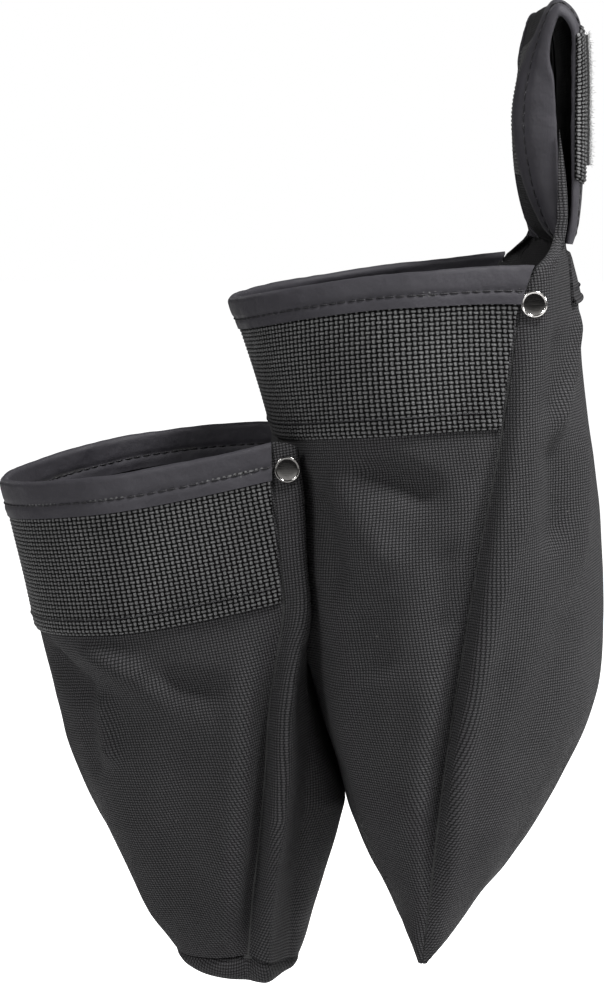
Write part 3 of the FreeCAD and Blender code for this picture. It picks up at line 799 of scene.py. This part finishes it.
def edge_tape():
    """Smooth folded binding tape with a fine rib and a violet cast, with painted shade in the rib's hollows."""
    s = Shader("edge_tape")
    place = s.place()
    height = s.weave(0.26 * MM, 0.22 * MM, 0.0001)
    colour = s.mix(s.noise(place, 55.0, 4.0), (0.019, 0.018, 0.022, 1), (0.034, 0.032, 0.038, 1))
    # Painted shade: the hollows of the rib are painted darker.
    colour = s.mix(s.ramp(height, 0.1, 0.7, 0.35, 0.0), colour, (0.014, 0.013, 0.016, 1))
    rough = s.ramp(s.noise(place, 120.0), 0.3, 0.7, 0.5, 0.66)
    wrinkle = s.bump(s.noise(place, 110.0, 3.0), 0.0008)
    normal = s.bump(height, 0.00004, 0.8, wrinkle)
    return s.finish(
        Base_Color=colour, Roughness=rough, Normal=normal, Specular_IOR_Level=0.25, Sheen_Weight=0.06,
        Sheen_Roughness=0.35,
    )


def sewing_thread():
    s = Shader("sewing_thread")
    place = s.place()
    wave = s.add("ShaderNodeTexWave", Vector=place, Scale=900.0, Distortion=2.0, p_bands_direction="DIAGONAL")
    twist = wave.outputs["Fac"]
    colour = s.mix(twist, (0.004, 0.004, 0.005, 1), (0.012, 0.011, 0.013, 1))
    normal = s.bump(twist, 0.00006)
    return s.finish(Base_Color=colour, Roughness=0.5, Normal=normal, Specular_IOR_Level=0.3)


def pile_fuzz(name, low, high):
    """Loop pile: thin pale fibres."""
    s = Shader(name)
    place = s.place()
    strands = s.noise(place, 1500.0, 3.0)
    colour = s.mix(s.ramp(strands, 0.35, 0.7), low, high)
    normal = s.bump(strands, 0.0006)
    return s.finish(
        Base_Color=colour, Roughness=0.8, Normal=normal, Specular_IOR_Level=0.3,
        Sheen_Weight=0.6, Sheen_Roughness=0.5,
    )


def nickel(name, dark, light):
    """Nickel plate with fine scratches and faint spots."""
    s = Shader(name)
    place = s.place()
    scratches = s.noise(s.add("ShaderNodeMapping", Vector=place, Scale=(300, 300, 4000)).outputs[0], 1.0, 4.0)
    rough = s.ramp(scratches, 0.35, 0.7, 0.12, 0.26)
    colour = s.mix(s.noise(place, 900.0), dark, light)
    normal = s.bump(scratches, 0.00001)
    return s.finish(Base_Color=colour, Metallic=1.0, Roughness=rough, Normal=normal)


def plain_tape():
    s = Shader("plain_tape")
    place = s.place()
    height = s.weave(0.4 * MM, 0.4 * MM, 0.0001)
    # Painted shade: the hollows between the yarns are painted darker than their tops.
    colour = s.mix(height, (0.008, 0.008, 0.008, 1), (0.03, 0.03, 0.031, 1))
    rough = s.ramp(s.noise(place, 200.0), 0.3, 0.7, 0.65, 0.8)
    return s.finish(Base_Color=colour, Roughness=rough, Normal=s.bump(height, 0.0001))


CLOTH_OUT = woven_cloth()
LINING = coated_lining()
WEB = webbing_cloth()
TAPE_EDGE = edge_tape()
THREAD = sewing_thread()
PILE_BASE = pile_fuzz("pile_base", (0.02, 0.02, 0.02, 1), (0.10, 0.10, 0.10, 1))
PILE_STRAND = pile_fuzz("pile_strand", (0.07, 0.07, 0.07, 1), (0.20, 0.20, 0.20, 1))
NICKEL = nickel("nickel_plate", (0.62, 0.60, 0.58, 1), (0.74, 0.72, 0.70, 1))
# A darker copy of the nickel for the lower cap's rim: its darkness is painted shade, the shadow the lower rivet
# lies in.
NICKEL_SHADED = nickel("nickel_painted_shade", (0.16, 0.155, 0.15, 1), (0.30, 0.29, 0.28, 1))
# A dark nickel for the caps' inner discs: its darkness is a painted reflection of dark surroundings.
NICKEL_DARK_REFLECTION = nickel("nickel_tarnished", (0.10, 0.097, 0.092, 1), (0.16, 0.155, 0.15, 1))
SEAM_TAPE = plain_tape()


# ---------------------------------------------------------------- pouches


def panel_lift(pouch, uv, folds, *unevenness):
    """How far a panel's cloth stands off its wall. It lies flat at the seams and nearly so at the bottom."""
    inward = np.abs(uv[..., 0]).max(axis=1)[:, None] - np.abs(uv[..., 0])
    lift = fold_heights(uv, inward, folds) + sum(unevenness)
    return lift * edge_fade(inward, *SEAM_FLAT) * edge_fade(pouch.bottom - uv[..., 1], *BOTTOM_FLAT)


def front_panel(pouch, folds, rows, columns, seed):
    """A front panel with its folds, which start below the webbing."""
    shares = seam_shares(0.0, 1.0, columns)
    grid, uv = wall_grid(pouch, FRONT, shares, np.linspace(0, pouch.bottom, rows))
    lift = panel_lift(pouch, uv, folds, rumple(grid, seed, 34, 1.0), rumple(grid, seed + 1, 13, 0.35))
    below_webbing = uv[..., 1] - WEBBING_TOP - WEBBING_WIDTH
    grid = grid + normals(grid) * (lift * edge_fade(below_webbing, *WEBBING_FLAT))[..., None]
    obj = cloth_sheet(f"{pouch.name}_front_cloth", grid, uv)
    settle(obj, "woven_cloth", f"{pouch.name}_pouch", f"{pouch.name}_front_panel")


def back_panel(pouch, top_of, folds, rows, columns, seed, more_nodes=()):
    """A back panel. top_of gives the drop of its top edge at each share."""
    shares = seam_shares(0.0, 1.0, columns)
    tops = np.array([top_of(share) for share in shares])
    steps = np.linspace(0, 1, rows)
    drops = tops[None] + (pouch.bottom - tops[None]) * steps[:, None]
    grid, uv = np.empty((rows, columns, 3)), np.empty((rows, columns, 2))
    levels = np.linspace(tops.min(), pouch.bottom, rows * 2)
    table, across = zip(*(wall_row(pouch, BACK, shares, drop) for drop in levels))
    table, across = np.array(table), np.array(across)
    for j in range(columns):
        for k in range(3):
            grid[:, j, k] = np.interp(drops[:, j], levels, table[:, j, k])
        uv[:, j, 0] = np.interp(drops[:, j], levels, across[:, j])
        uv[:, j, 1] = drops[:, j]
    grid, uv = grid[:, ::-1], uv[:, ::-1]
    lift = panel_lift(pouch, uv, folds, rumple(grid, seed, 40, 1.0), rumple(grid, seed + 1, 15, 0.3))
    lift *= edge_fade(uv[..., 1] - uv[:1, :, 1], *TOP_FLAT)
    if pouch is LOWER:
        lift = np.minimum(lift, SEWN_LIFT) * edge_fade(uv[..., 1], *SEWN_FLAT)
    grid = grid + normals(grid) * lift[..., None]
    obj = cloth_sheet(f"{pouch.name}_back_cloth", grid, uv)
    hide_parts(f"{pouch.name}_back_panel", *more_nodes)
    return obj


def weave_relief(uv):
    """The webbing's yarns as real relief, from the same weave as its material."""
    u, v = uv[..., 0] / WEB_WARP, uv[..., 1] / WEB_WEFT
    bow_u = np.cos(np.pi * (u - np.floor(u) - 0.5))
    bow_v = np.cos(np.pi * (v - np.floor(v) - 0.5))
    odd = (np.floor(u) + np.floor(v)) % 2
    return odd * bow_u * (0.55 + 0.45 * bow_v) + (1 - odd) * bow_v * (0.55 + 0.45 * bow_u)


def relief_band(name, grid, uv, inner, outer, material):
    """A closed band with all its points on the outer face and few rows of them on its hidden back."""
    rows, columns = grid.shape[:2]
    normal = normals(grid)
    few = np.unique(np.linspace(0, rows - 1, HIDDEN_ROWS).astype(int))
    front = grid + normal * outer[..., None]
    back = (grid + normal * inner)[few]
    top = np.arange(rows * columns).reshape(rows, columns)
    under = rows * columns + np.arange(len(few) * columns).reshape(len(few), columns)
    faces = grid_faces(rows, columns, 0).tolist()
    faces += grid_faces(len(few), columns, rows * columns, flip=True).tolist()
    for j in range(columns - 1):
        faces.append([top[0, j], top[0, j + 1], under[0, j + 1], under[0, j]])
        faces.append([top[-1, j + 1], top[-1, j], under[-1, j], under[-1, j + 1]])
    for k, (low, high) in enumerate(zip(few, few[1:])):
        faces.append([*top[low:high + 1, 0][::-1], under[k, 0], under[k + 1, 0]])
        faces.append([*top[low:high + 1, -1], under[k + 1, -1], under[k, -1]])
    faces = [[int(i) for i in face] for face in faces]
    points = np.concatenate([front.reshape(-1, 3), back.reshape(-1, 3)])
    cloth = np.concatenate([uv.reshape(-1, 2), uv[few].reshape(-1, 2)])
    return make_mesh(name, points, faces, material, cloth)


def band_sheet(name, grid, uv, inner, node, body):
    """A webbing band. Its outer face has the yarns' relief and its two long edges are rounded."""
    height = weave_relief(uv)
    down = uv[..., 1] - uv[..., 1].min()
    edge = np.minimum(down, down.max() - down)
    round_off = 0.6 * (1 - edge_fade(edge, 0, 1.4))
    outer = inner + WEBBING + 0.2 - WEB_RELIEF * (1 - height) - round_off
    settle(relief_band(name, grid, uv, inner, outer, WEB), "webbing", body, node)


def yarn_steps(length, width):
    """How many columns and rows of points show each yarn of a webbing band."""
    return int(length / WEB_WARP * COLUMNS_PER_YARN) + 1, int(width / WEB_WEFT * ROWS_PER_YARN) + 1


def mouth_webbing(pouch, body):
    columns, rows = yarn_steps(WEBBING_LENGTH[pouch.name], WEBBING_WIDTH)
    shares = np.linspace(0.004, 0.996, columns)
    drops = np.linspace(WEBBING_TOP, WEBBING_TOP + WEBBING_WIDTH, rows)
    grid, uv = wall_grid(pouch, FRONT, shares, drops)
    band_sheet(f"{pouch.name}_webbing_band", grid, uv, CLOTH / 2 + PLY_GAP, f"{pouch.name}_webbing", body)


def folded_profile(leg, out_mid, in_mid, stitch_dip):
    """Points (drop, offset from the wall, distance along the tape) of a tape folded over an edge."""
    radius, centre = (out_mid - in_mid) / 2, (out_mid + in_mid) / 2
    down = np.linspace(leg, 0.4, 18)
    dip = stitch_dip * np.exp(-(((down - leg * STITCH_SHARE) / 1.1) ** 2))
    turn = np.radians(np.linspace(12, 168, 9))
    drop = np.concatenate([down, -radius * np.sin(turn), down[::-1]])
    offset = np.concatenate([out_mid - dip, centre + radius * np.cos(turn), in_mid + dip[::-1]])
    return drop, offset, run_along(np.stack([drop, offset], axis=1))


def folded_tape(name, row_at, leg, out_mid, in_mid, node, body, seed):
    """Binding folded over an edge, pulled in along its stitches. row_at(drop) gives a row below the edge."""
    drop, offset, run = folded_profile(leg, out_mid, in_mid, STITCH_DIP)
    edge = row_at(0.0)
    up = unit(edge - row_at(1.0))
    rows = []
    for d, o in zip(drop, offset):
        line = row_at(max(d, 0.0))
        out = normals(np.stack([line, row_at(max(d, 0.0) + 1.0)]))[0]
        rows.append(line + out * o + up * max(-d, 0.0))
    grid = np.array(rows)
    uv = np.stack(np.meshgrid(run_along(edge), run), axis=2)
    pucker = rumple(grid, seed, 5.5, 0.22) + rumple(grid, seed + 1, 22, 0.4)
    pucker *= edge_fade(np.minimum(run, run[-1] - run), 0, 3)[:, None]
    grid = grid + normals(grid) * pucker[..., None]
    settle(thick_sheet(name, grid, uv, -TAPE / 2, TAPE / 2, TAPE_EDGE), "edge_tape", body, node)
    return grid


def tape_stitches(name, grid, body, outside, inside):
    """Stitches on both legs of a folded tape. outside and inside are the names of the two rows."""
    out = -normals(grid)
    for at, ending in ((STITCH_ROW, outside), (len(grid) - 1 - STITCH_ROW, inside)):
        path = grid[at] + out[at] * TAPE / 2
        settle(stitches(f"{name}_stitches{ending}", path, out[at], THREAD), "edge_tape", body)


def rim_binding(pouch, body, seed):
    """The tape over a mouth's front rim and its stitches, outside and inside."""
    shares = seam_shares(0.001, 0.999, 260, evenness=0.9)
    out_mid = CLOTH / 2 + WEBBING + 2 * PLY_GAP + TAPE / 2
    in_mid = -CLOTH / 2 - PLY_GAP - TAPE / 2

    @lru_cache(maxsize=None)
    def row_at(drop):
        return wall_row(pouch, FRONT, shares, drop)[0]

    name = f"{pouch.name}_rim_tape"
    grid = folded_tape(name, row_at, BINDING_LEG, out_mid, in_mid, f"{pouch.name}_rim_binding", body, seed)
    tape_stitches(name, grid, body, "", "_inside")


def band_stitches(pouch, body):
    """The stitches along the webbing's lower edge."""
    shares = np.linspace(0.01, 0.99, 400)
    base = CLOTH / 2 + PLY_GAP + WEBBING + 0.1
    low = WEBBING_TOP + WEBBING_WIDTH - BAND_STITCH_UP
    grid, _ = wall_grid(pouch, FRONT, shares, np.array([low, low + 1.0]))
    out = normals(grid)
    line = grid[0] + out[0] * base
    name = f"{pouch.name}_band_stitches"
    thread = stitches(name, line, out[0], THREAD, length=3.6, gap=0.5, radius=0.2, sink=0.12)
    settle(thread, "edge_tape", body)


def rivet_outline():
    """Half outline of a rivet cap, (radius, height): a flat disc inside a rolled rim."""
    rim = [(CAP_RADIUS, -1.0), (CAP_RADIUS, 0.4)]
    turn = np.radians(np.linspace(-10, 190, 12))
    bead = [(CAP_RADIUS - CAP_BEAD * (1 - math.cos(a)), 0.7 + CAP_BEAD * math.sin(a)) for a in turn]
    dish = [(CAP_RADIUS - 2 * CAP_BEAD - 0.15, 0.68), (2.2, 0.76), (1.1, 0.8), (0.02, 0.81)]
    return rim + bead + dish


def rivet_caps(pouch, body):
    """Both caps, turned from one outline, on the back panel just behind the side seams."""
    y, z = RIVET_PLACE[pouch.name]
    near = [wall_row(pouch, BACK, np.linspace(0, 0.2, 80), pouch.rim - z + up)[0] for up in (-3, 0, 3)]
    high = max(r[np.abs(r[:, 1] - y) < CAP_RADIUS][:, 0].max() for r in near)
    outline = np.array(rivet_outline())
    spins = np.linspace(0, 2 * np.pi, CAP_SPINS, endpoint=False)
    face_x = high + CAP_LIFT[pouch.name]
    points, faces = [], []
    for side in (RIGHT, LEFT):
        ring = np.stack([
            np.repeat(side * (face_x + outline[:, 1])[:, None], len(spins), axis=1),
            y + outline[:, :1] * np.cos(spins),
            z + outline[:, :1] * np.sin(spins),
        ], axis=2)
        index = np.arange(ring[..., 0].size).reshape(ring.shape[:2])
        quads = ring_faces(index + len(points) * index.size)
        faces.append(quads if side == RIGHT else quads[:, ::-1])
        points.append(ring.reshape(-1, 3))
    # The lower cap's rim gets the darker nickel, which is painted shade.
    rim = NICKEL if pouch is UPPER else NICKEL_SHADED
    obj = make_mesh(f"{pouch.name}_rivet_faces", np.concatenate(points), np.concatenate(faces), rim)
    # Each cap's flat inner disc gets the dark nickel, a painted dark reflection.
    obj.data.materials.append(NICKEL_DARK_REFLECTION)
    for polygon in obj.data.polygons:
        spoke = math.hypot(polygon.center.y - y * MM, polygon.center.z - z * MM)
        polygon.material_index = int(spoke < (CAP_RADIUS - 2 * CAP_BEAD - 0.1) * MM)
    settle(obj, "rivet_metal", body, f"{pouch.name}_rivet_caps")


def seam_allowance(pouch, side, word, body, seed):
    """The turned-in edges of both panels under one tape, standing inside a side seam."""
    drops = np.linspace(*ALLOWANCE_SPAN[pouch.name], 80)
    across = np.linspace(0, 1, 9)
    grid = np.empty((len(drops), len(across), 3))
    for line, drop in zip(grid, drops):
        row = level_at(pouch, drop)
        x, y, z = wall_row(pouch, FRONT, [0.0], drop)[0][0]
        depth = min(ALLOWANCE, ALLOWANCE_SHARE * row.half_width)
        line[:, 0] = side * (x + 0.2 - depth * across)
        line[:, 1:] = y + seam_half(row), z
    grid[..., 1] += rumple(grid, seed, 18, 1.6) * across[None]
    uv = np.stack(np.meshgrid(across * ALLOWANCE, drops), axis=2)
    name = f"{pouch.name}_seam_allowance_{word}"
    obj = thick_sheet(name, grid, uv, -ALLOWANCE_HALF, ALLOWANCE_HALF, SEAM_TAPE)
    settle(obj, "seam_tape", body, f"{pouch.name}_seam_tape_{word}")


def upper_bottom_seam():
    """The turned-in edges along the upper bag's bottom seam, under one tape."""
    drops = np.linspace(UPPER.bottom - 9, UPPER.bottom, 10)
    shares = np.linspace(0.04, 0.96, 120)
    walls = [[wall_row(UPPER, side, shares, drop)[0] for drop in drops] for side in (FRONT, BACK)]
    grid = np.mean(walls, axis=0)
    grid[..., 1] += rumple(grid, 31, 20, 1.2) * np.linspace(1, 0, 10)[:, None]
    uv = np.stack(np.meshgrid(shares * 140, drops), axis=2)
    obj = thick_sheet("upper_bottom_allowance", grid, uv, -0.9, 0.9, SEAM_TAPE)
    settle(obj, "seam_tape", "upper_pouch", "upper_bottom_tape")


def lower_base():
    """The boxed bottom: a shallow tray that bulges below the bottom seam, with a flap up inside the bag."""
    drop = LOWER.bottom + 0.2
    shares = seam_shares(0.0, 1.0, 90)
    front = wall_row(LOWER, FRONT, shares, drop)[0]
    back = wall_row(LOWER, BACK, shares[::-1], drop)[0]
    outline = np.concatenate([front, back[1:-1]])
    centre = outline.mean(axis=0)
    ends = np.clip(np.abs(outline[:, 1] - outline[:, 1].mean()) / (np.ptp(outline[:, 1]) / 2), 0, 1)
    depth = BASE_SAG * (0.3 + 0.7 * np.sqrt(1 - ends**2))
    rings = []
    first, last = outline[outline[:, 1].argmin()], outline[outline[:, 1].argmax()]
    level = np.interp(outline[:, 1], [first[1], last[1]], [first[2], last[2]])
    for size, down in BASE_RINGS:
        ring = centre + (outline - centre) * size
        edge = outline[:, 2] * (1 - down) + level * down
        ring[:, 2] = centre[2] * (1 - size) + edge * size - down * (depth * size + BASE_SAG * (1 - size))
        rings.append(np.concatenate([ring, ring[:1]]))
    grid = np.array(rings)
    inside = edge_fade(np.array([1 - size for size, _ in BASE_RINGS]), 0.05, 0.3)
    grid[..., 2] += rumple(grid, 41, 16, 0.8) * inside[:, None]
    steps = np.linalg.norm(np.diff(grid, axis=0), axis=2)
    reach = np.concatenate([np.cumsum(steps[::-1], axis=0)[::-1], np.zeros((1, grid.shape[1]))])
    spokes = unit(np.concatenate([outline, outline[:1]])[:, :2] - centre[:2])
    uv = reach[..., None] * spokes[None]
    settle(cloth_sheet("lower_base_cloth", grid, uv), "woven_cloth", "lower_pouch", "lower_base_panel")


def upper_top(share):
    """The upper back panel's top edge: a neck between the loop's walls, and a strip up beside each edge."""
    return min(NECK_DROP, SHOULDER_TOP + SHOULDER_FALL * min(share, 1 - share))


def build_bag(pouch, binding_seed, allowance_seed):
    """What both bags have in common besides their panels."""
    body = f"{pouch.name}_pouch"
    mouth_webbing(pouch, body)
    rim_binding(pouch, body, binding_seed)
    band_stitches(pouch, body)
    rivet_caps(pouch, body)
    for side, word in BOTH_SIDES:
        seam_allowance(pouch, side, word, body, allowance_seed)


def build_upper():
    front_panel(UPPER, UPPER_FOLDS, rows=150, columns=180, seed=3)
    strips = ("loop_edge_strip_right", "loop_edge_strip_left")
    back = back_panel(UPPER, upper_top, UPPER_BACK_FOLDS, rows=160, columns=190, seed=7, more_nodes=strips)
    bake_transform(back)
    build_bag(UPPER, binding_seed=11, allowance_seed=13)
    upper_bottom_seam()


def lower_top(share):
    """The lower back panel's top edge, higher at its corners than in its middle."""
    corner = LOWER_CORNER_TOP + (LEFT_DROOP["lower"] if share > 0.5 else 0)
    t = min(min(share, 1 - share) / CORNER_SHARE, 1)
    return corner + (LOWER_BACK_TOP - corner) * t**2 * (3 - 2 * t)


def build_lower():
    front_panel(LOWER, LOWER_FOLDS, rows=140, columns=170, seed=17)
    back = back_panel(LOWER, lower_top, LOWER_BACK_FOLDS, rows=120, columns=130, seed=19)
    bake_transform(back)
    build_bag(LOWER, binding_seed=23, allowance_seed=29)
    lower_base()


# ---------------------------------------------------------------- belt loop


def loop_band(name, span, half, inner, node):
    """A band of webbing across one wall of the loop."""
    start, end = (loop_row(0.0, np.array([a]))[0] for a in span)
    columns, rows = yarn_steps(2 * half, np.linalg.norm(end - start))
    grid, uv = loop_grid(np.linspace(*span, rows), np.linspace(-half, half, columns))
    band_sheet(name, grid, uv, inner, node, "belt_loop")


def loop_bindings():
    middle = CLOTH / 2 + PLY_GAP + TAPE / 2
    for side, word in BOTH_SIDES:
        alongs = np.linspace(0, len(LOOP_MIDDLE) - 1, 150)[::side]

        @lru_cache(maxsize=None)
        def row_at(drop):
            return loop_row(side * (LOOP_HALF_WIDTH - drop), alongs)

        name = f"loop_edge_tape_{word}"
        grid = folded_tape(name, row_at, LOOP_LEG, middle, -middle, f"loop_binding_{word}", "belt_loop", 37)
        tape_stitches(name, grid, "belt_loop", "_outside", "_inside")


def loop_tail():
    """The strap's free end below its stitching, curling off the back, with a rolled hem."""
    shares = np.linspace(0.02, 0.98, 400)
    shares = shares[np.abs(wall_row(UPPER, BACK, shares, 0)[0][:, 0]) < TAIL_HALF][::3]
    drops = np.linspace(TAIL_TOP, TAIL_FOOT, 26)
    grid, uv = wall_grid(UPPER, BACK, shares, drops)
    t = np.linspace(0, 1, 26)[:, None]
    wave = 0.35 * np.sin(uv[..., 0] / 9.0) * t
    lift = CLOTH + TAIL_LIFT * t**2 + wave * 0.4
    grid = grid + normals(grid) * lift[..., None]
    settle(cloth_sheet("strap_tail", grid, uv), "woven_cloth", "upper_pouch", "loop_tail")
    turns = np.radians(np.linspace(-80, 260, 20))
    out = normals(grid)
    down = unit(grid[-1] - grid[-2])
    spokes = [out[-1] * math.cos(a) - down * math.sin(a) for a in turns]
    roll = grid[-1] + down * 1.2 + 0.8 * np.array(spokes)
    hem_uv = np.stack(np.meshgrid(uv[-1, :, 0], np.linspace(0, 6, 20)), axis=2)
    hem = thick_sheet("strap_tail_hem", roll, hem_uv, -0.4, 0.4, CLOTH_OUT)
    settle(hem, "woven_cloth", "upper_pouch", "loop_tail_hem")
    path = grid[-6] + out[-6] * CLOTH / 2
    settle(stitches("strap_tail_stitches", path, out[-6], THREAD), "edge_tape", "upper_pouch")


def pile_patch(inner):
    """Backing tape, a lumpy pile slab, and thin strands standing out of it."""
    span = np.linspace(*FASTENER, 60)
    xs = np.linspace(-FASTENER_HALF, FASTENER_HALF, 130)
    grid, uv = loop_grid(span, xs)
    backing = thick_sheet("fastener_tape", grid, uv, inner, inner + FASTENER_BACKING, SEAM_TAPE)
    settle(backing, "backing_tape", "belt_loop", "fastener_backing")
    foot = inner + FASTENER_BACKING + PLY_GAP
    lumps = rumple(grid, 51, 2.2, 0.35) + rumple(grid, 52, 9, 0.25)
    edge = np.minimum.reduce([
        FASTENER_HALF - np.abs(uv[..., 0]), uv[..., 1] - uv[..., 1].min(), uv[..., 1].max() - uv[..., 1],
    ])
    top = foot + 0.3 + (PILE + lumps) * edge_fade(edge, 0, 1.6)
    slab = thick_sheet("fastener_pile_slab", grid, uv, foot, top, PILE_BASE)
    settle(slab, "fastener_pile", "belt_loop", "fastener_pile")
    settle(pile_strands(span, foot + 0.5), "fastener_pile", "belt_loop")


def pile_strands(span, foot):
    """Curved hairs, more upright in the middle and splayed at the patch's edges."""
    rng = np.random.default_rng(8)
    count = PILE_HAIRS
    x = rng.uniform(-FASTENER_HALF, FASTENER_HALF, count)
    t = rng.uniform(0.0, 1.0, count)
    grid, _ = loop_grid(span, np.linspace(-FASTENER_HALF, FASTENER_HALF, 60))
    out = normals(grid)
    row = t * (grid.shape[0] - 1)
    column = (x / FASTENER_HALF + 1) / 2 * (grid.shape[1] - 1)
    root, up = (a[row.astype(int), column.astype(int)] for a in (grid, out))
    root = root + np.stack([x - root[:, 0], np.zeros(count), rng.uniform(-0.35, 0.35, count)], axis=1)
    lean = rng.normal(0, 0.55, (count, 3))
    lean[:, 0] += 0.8 * (x / FASTENER_HALF) ** 9
    lean[:, 2] += -1.1 * (2 * t - 1) ** 7
    height = rng.uniform(0.3, 1.0, count)[:, None]
    curl = rng.normal(0, 0.7, (count, 3))
    steps = np.linspace(0, 1, 4)
    lines = [root + up * foot + (up * s + lean * s * 0.7 + curl * s * s * 0.5) * height for s in steps]
    lines = np.stack(lines, axis=1)
    outs = np.broadcast_to(up[:, None], lines.shape)
    return tubes("fastener_pile_hairs", lines, outs, 0.045, PILE_STRAND, sides=3)


def build_loop():
    everything = np.linspace(0, len(LOOP_MIDDLE) - 1, 150)
    edge = np.linspace(LOOP_FLAT, LOOP_HALF_WIDTH, 26)
    xs = np.concatenate([-edge[::-1], np.linspace(-LOOP_FLAT, LOOP_FLAT, 60)[1:-1], edge])
    strap, uv = loop_grid(everything, xs)
    strap = strap + normals(strap) * rumple(strap, 45, 16, 0.3)[..., None]
    settle(cloth_sheet("loop_strap", strap, uv), "woven_cloth", "belt_loop", "loop_panel")
    loop_bindings()
    outside = CLOTH / 2 + PLY_GAP
    loop_band("loop_front_webbing", FRONT_BAND, LOOP_FLAT - 1.0, outside - 0.9, "loop_front_band")
    over_binding = outside + PLY_GAP
    loop_band("loop_rear_webbing", BACK_BAND, LOOP_HALF_WIDTH, over_binding, "loop_back_webbing")
    pile_patch(over_binding + WEBBING + PLY_GAP)
    loop_tail()


# ---------------------------------------------------------------- studio


def stage():
    """A wide pale floor well under the hanging pouch, a white surround and soft lights."""
    z = CAD_BOX[0][2] / MM - FLOOR_BELOW
    corners = [(x * FLOOR_HALF, y * FLOOR_HALF, z) for x, y in ((-1, -1), (1, -1), (1, 1), (-1, 1))]
    s = Shader("studio_floor")
    seen = s.add("ShaderNodeLightPath").outputs["Is Camera Ray"]
    white = s.finish(
        Base_Color=(0.7, 0.7, 0.7, 1), Roughness=0.9, Emission_Color=(1, 1, 1, 1), Emission_Strength=seen,
    )
    make_mesh("studio_floor", corners, [[0, 1, 2, 3]], white)

    world = bpy.data.worlds.new("studio")
    world.use_nodes = True
    tree = world.node_tree
    path = tree.nodes.new("ShaderNodeLightPath")
    mix = tree.nodes.new("ShaderNodeMix")
    mix.data_type = "RGBA"
    mix.inputs["A"].default_value = (0.07, 0.07, 0.071, 1)
    mix.inputs["B"].default_value = (1.0, 1.0, 1.0, 1)
    tree.links.new(path.outputs["Is Camera Ray"], mix.inputs["Factor"])
    tree.links.new(mix.outputs["Result"], tree.nodes["Background"].inputs["Color"])
    bpy.context.scene.world = world


def face(name, data, place, way):
    """A light or camera at a place, looking along a way."""
    obj = bpy.data.objects.new(name, data)
    obj.location = place
    obj.rotation_mode = "QUATERNION"
    obj.rotation_quaternion = Vector(way).to_track_quat("-Z", "Y")
    bpy.context.scene.collection.objects.link(obj)
    return obj


def soft_light(name, place, size, watts):
    light = bpy.data.lights.new(name, "AREA")
    light.shape = "DISK"
    light.size = size
    light.energy = watts
    face(name, light, place, Vector(LIGHT_AIM) - Vector(place))


def camera():
    """The side view, level with the belt loop and looking slightly down."""
    data = bpy.data.cameras.new("camera")
    data.sensor_width = SENSOR
    data.lens = LENS
    way = (-math.cos(CAMERA_PITCH), 0, -math.sin(CAMERA_PITCH))
    bpy.context.scene.camera = face("camera", data, CAMERA_EYE, way)


def finish_cad_nodes():
    """Rivet posts and back caps keep their CAD shape and get the nickel."""
    for pouch in (UPPER, LOWER):
        for part in ("posts", "backs"):
            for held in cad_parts[f"{pouch.name}_rivet_{part}"].material_slots:
                held.material = NICKEL


build_upper()
build_lower()
build_loop()
finish_cad_nodes()
stage()
for light_values in LIGHTS:
    soft_light(*light_values)
camera()
bpy.context.scene.view_settings.view_transform = "Standard"
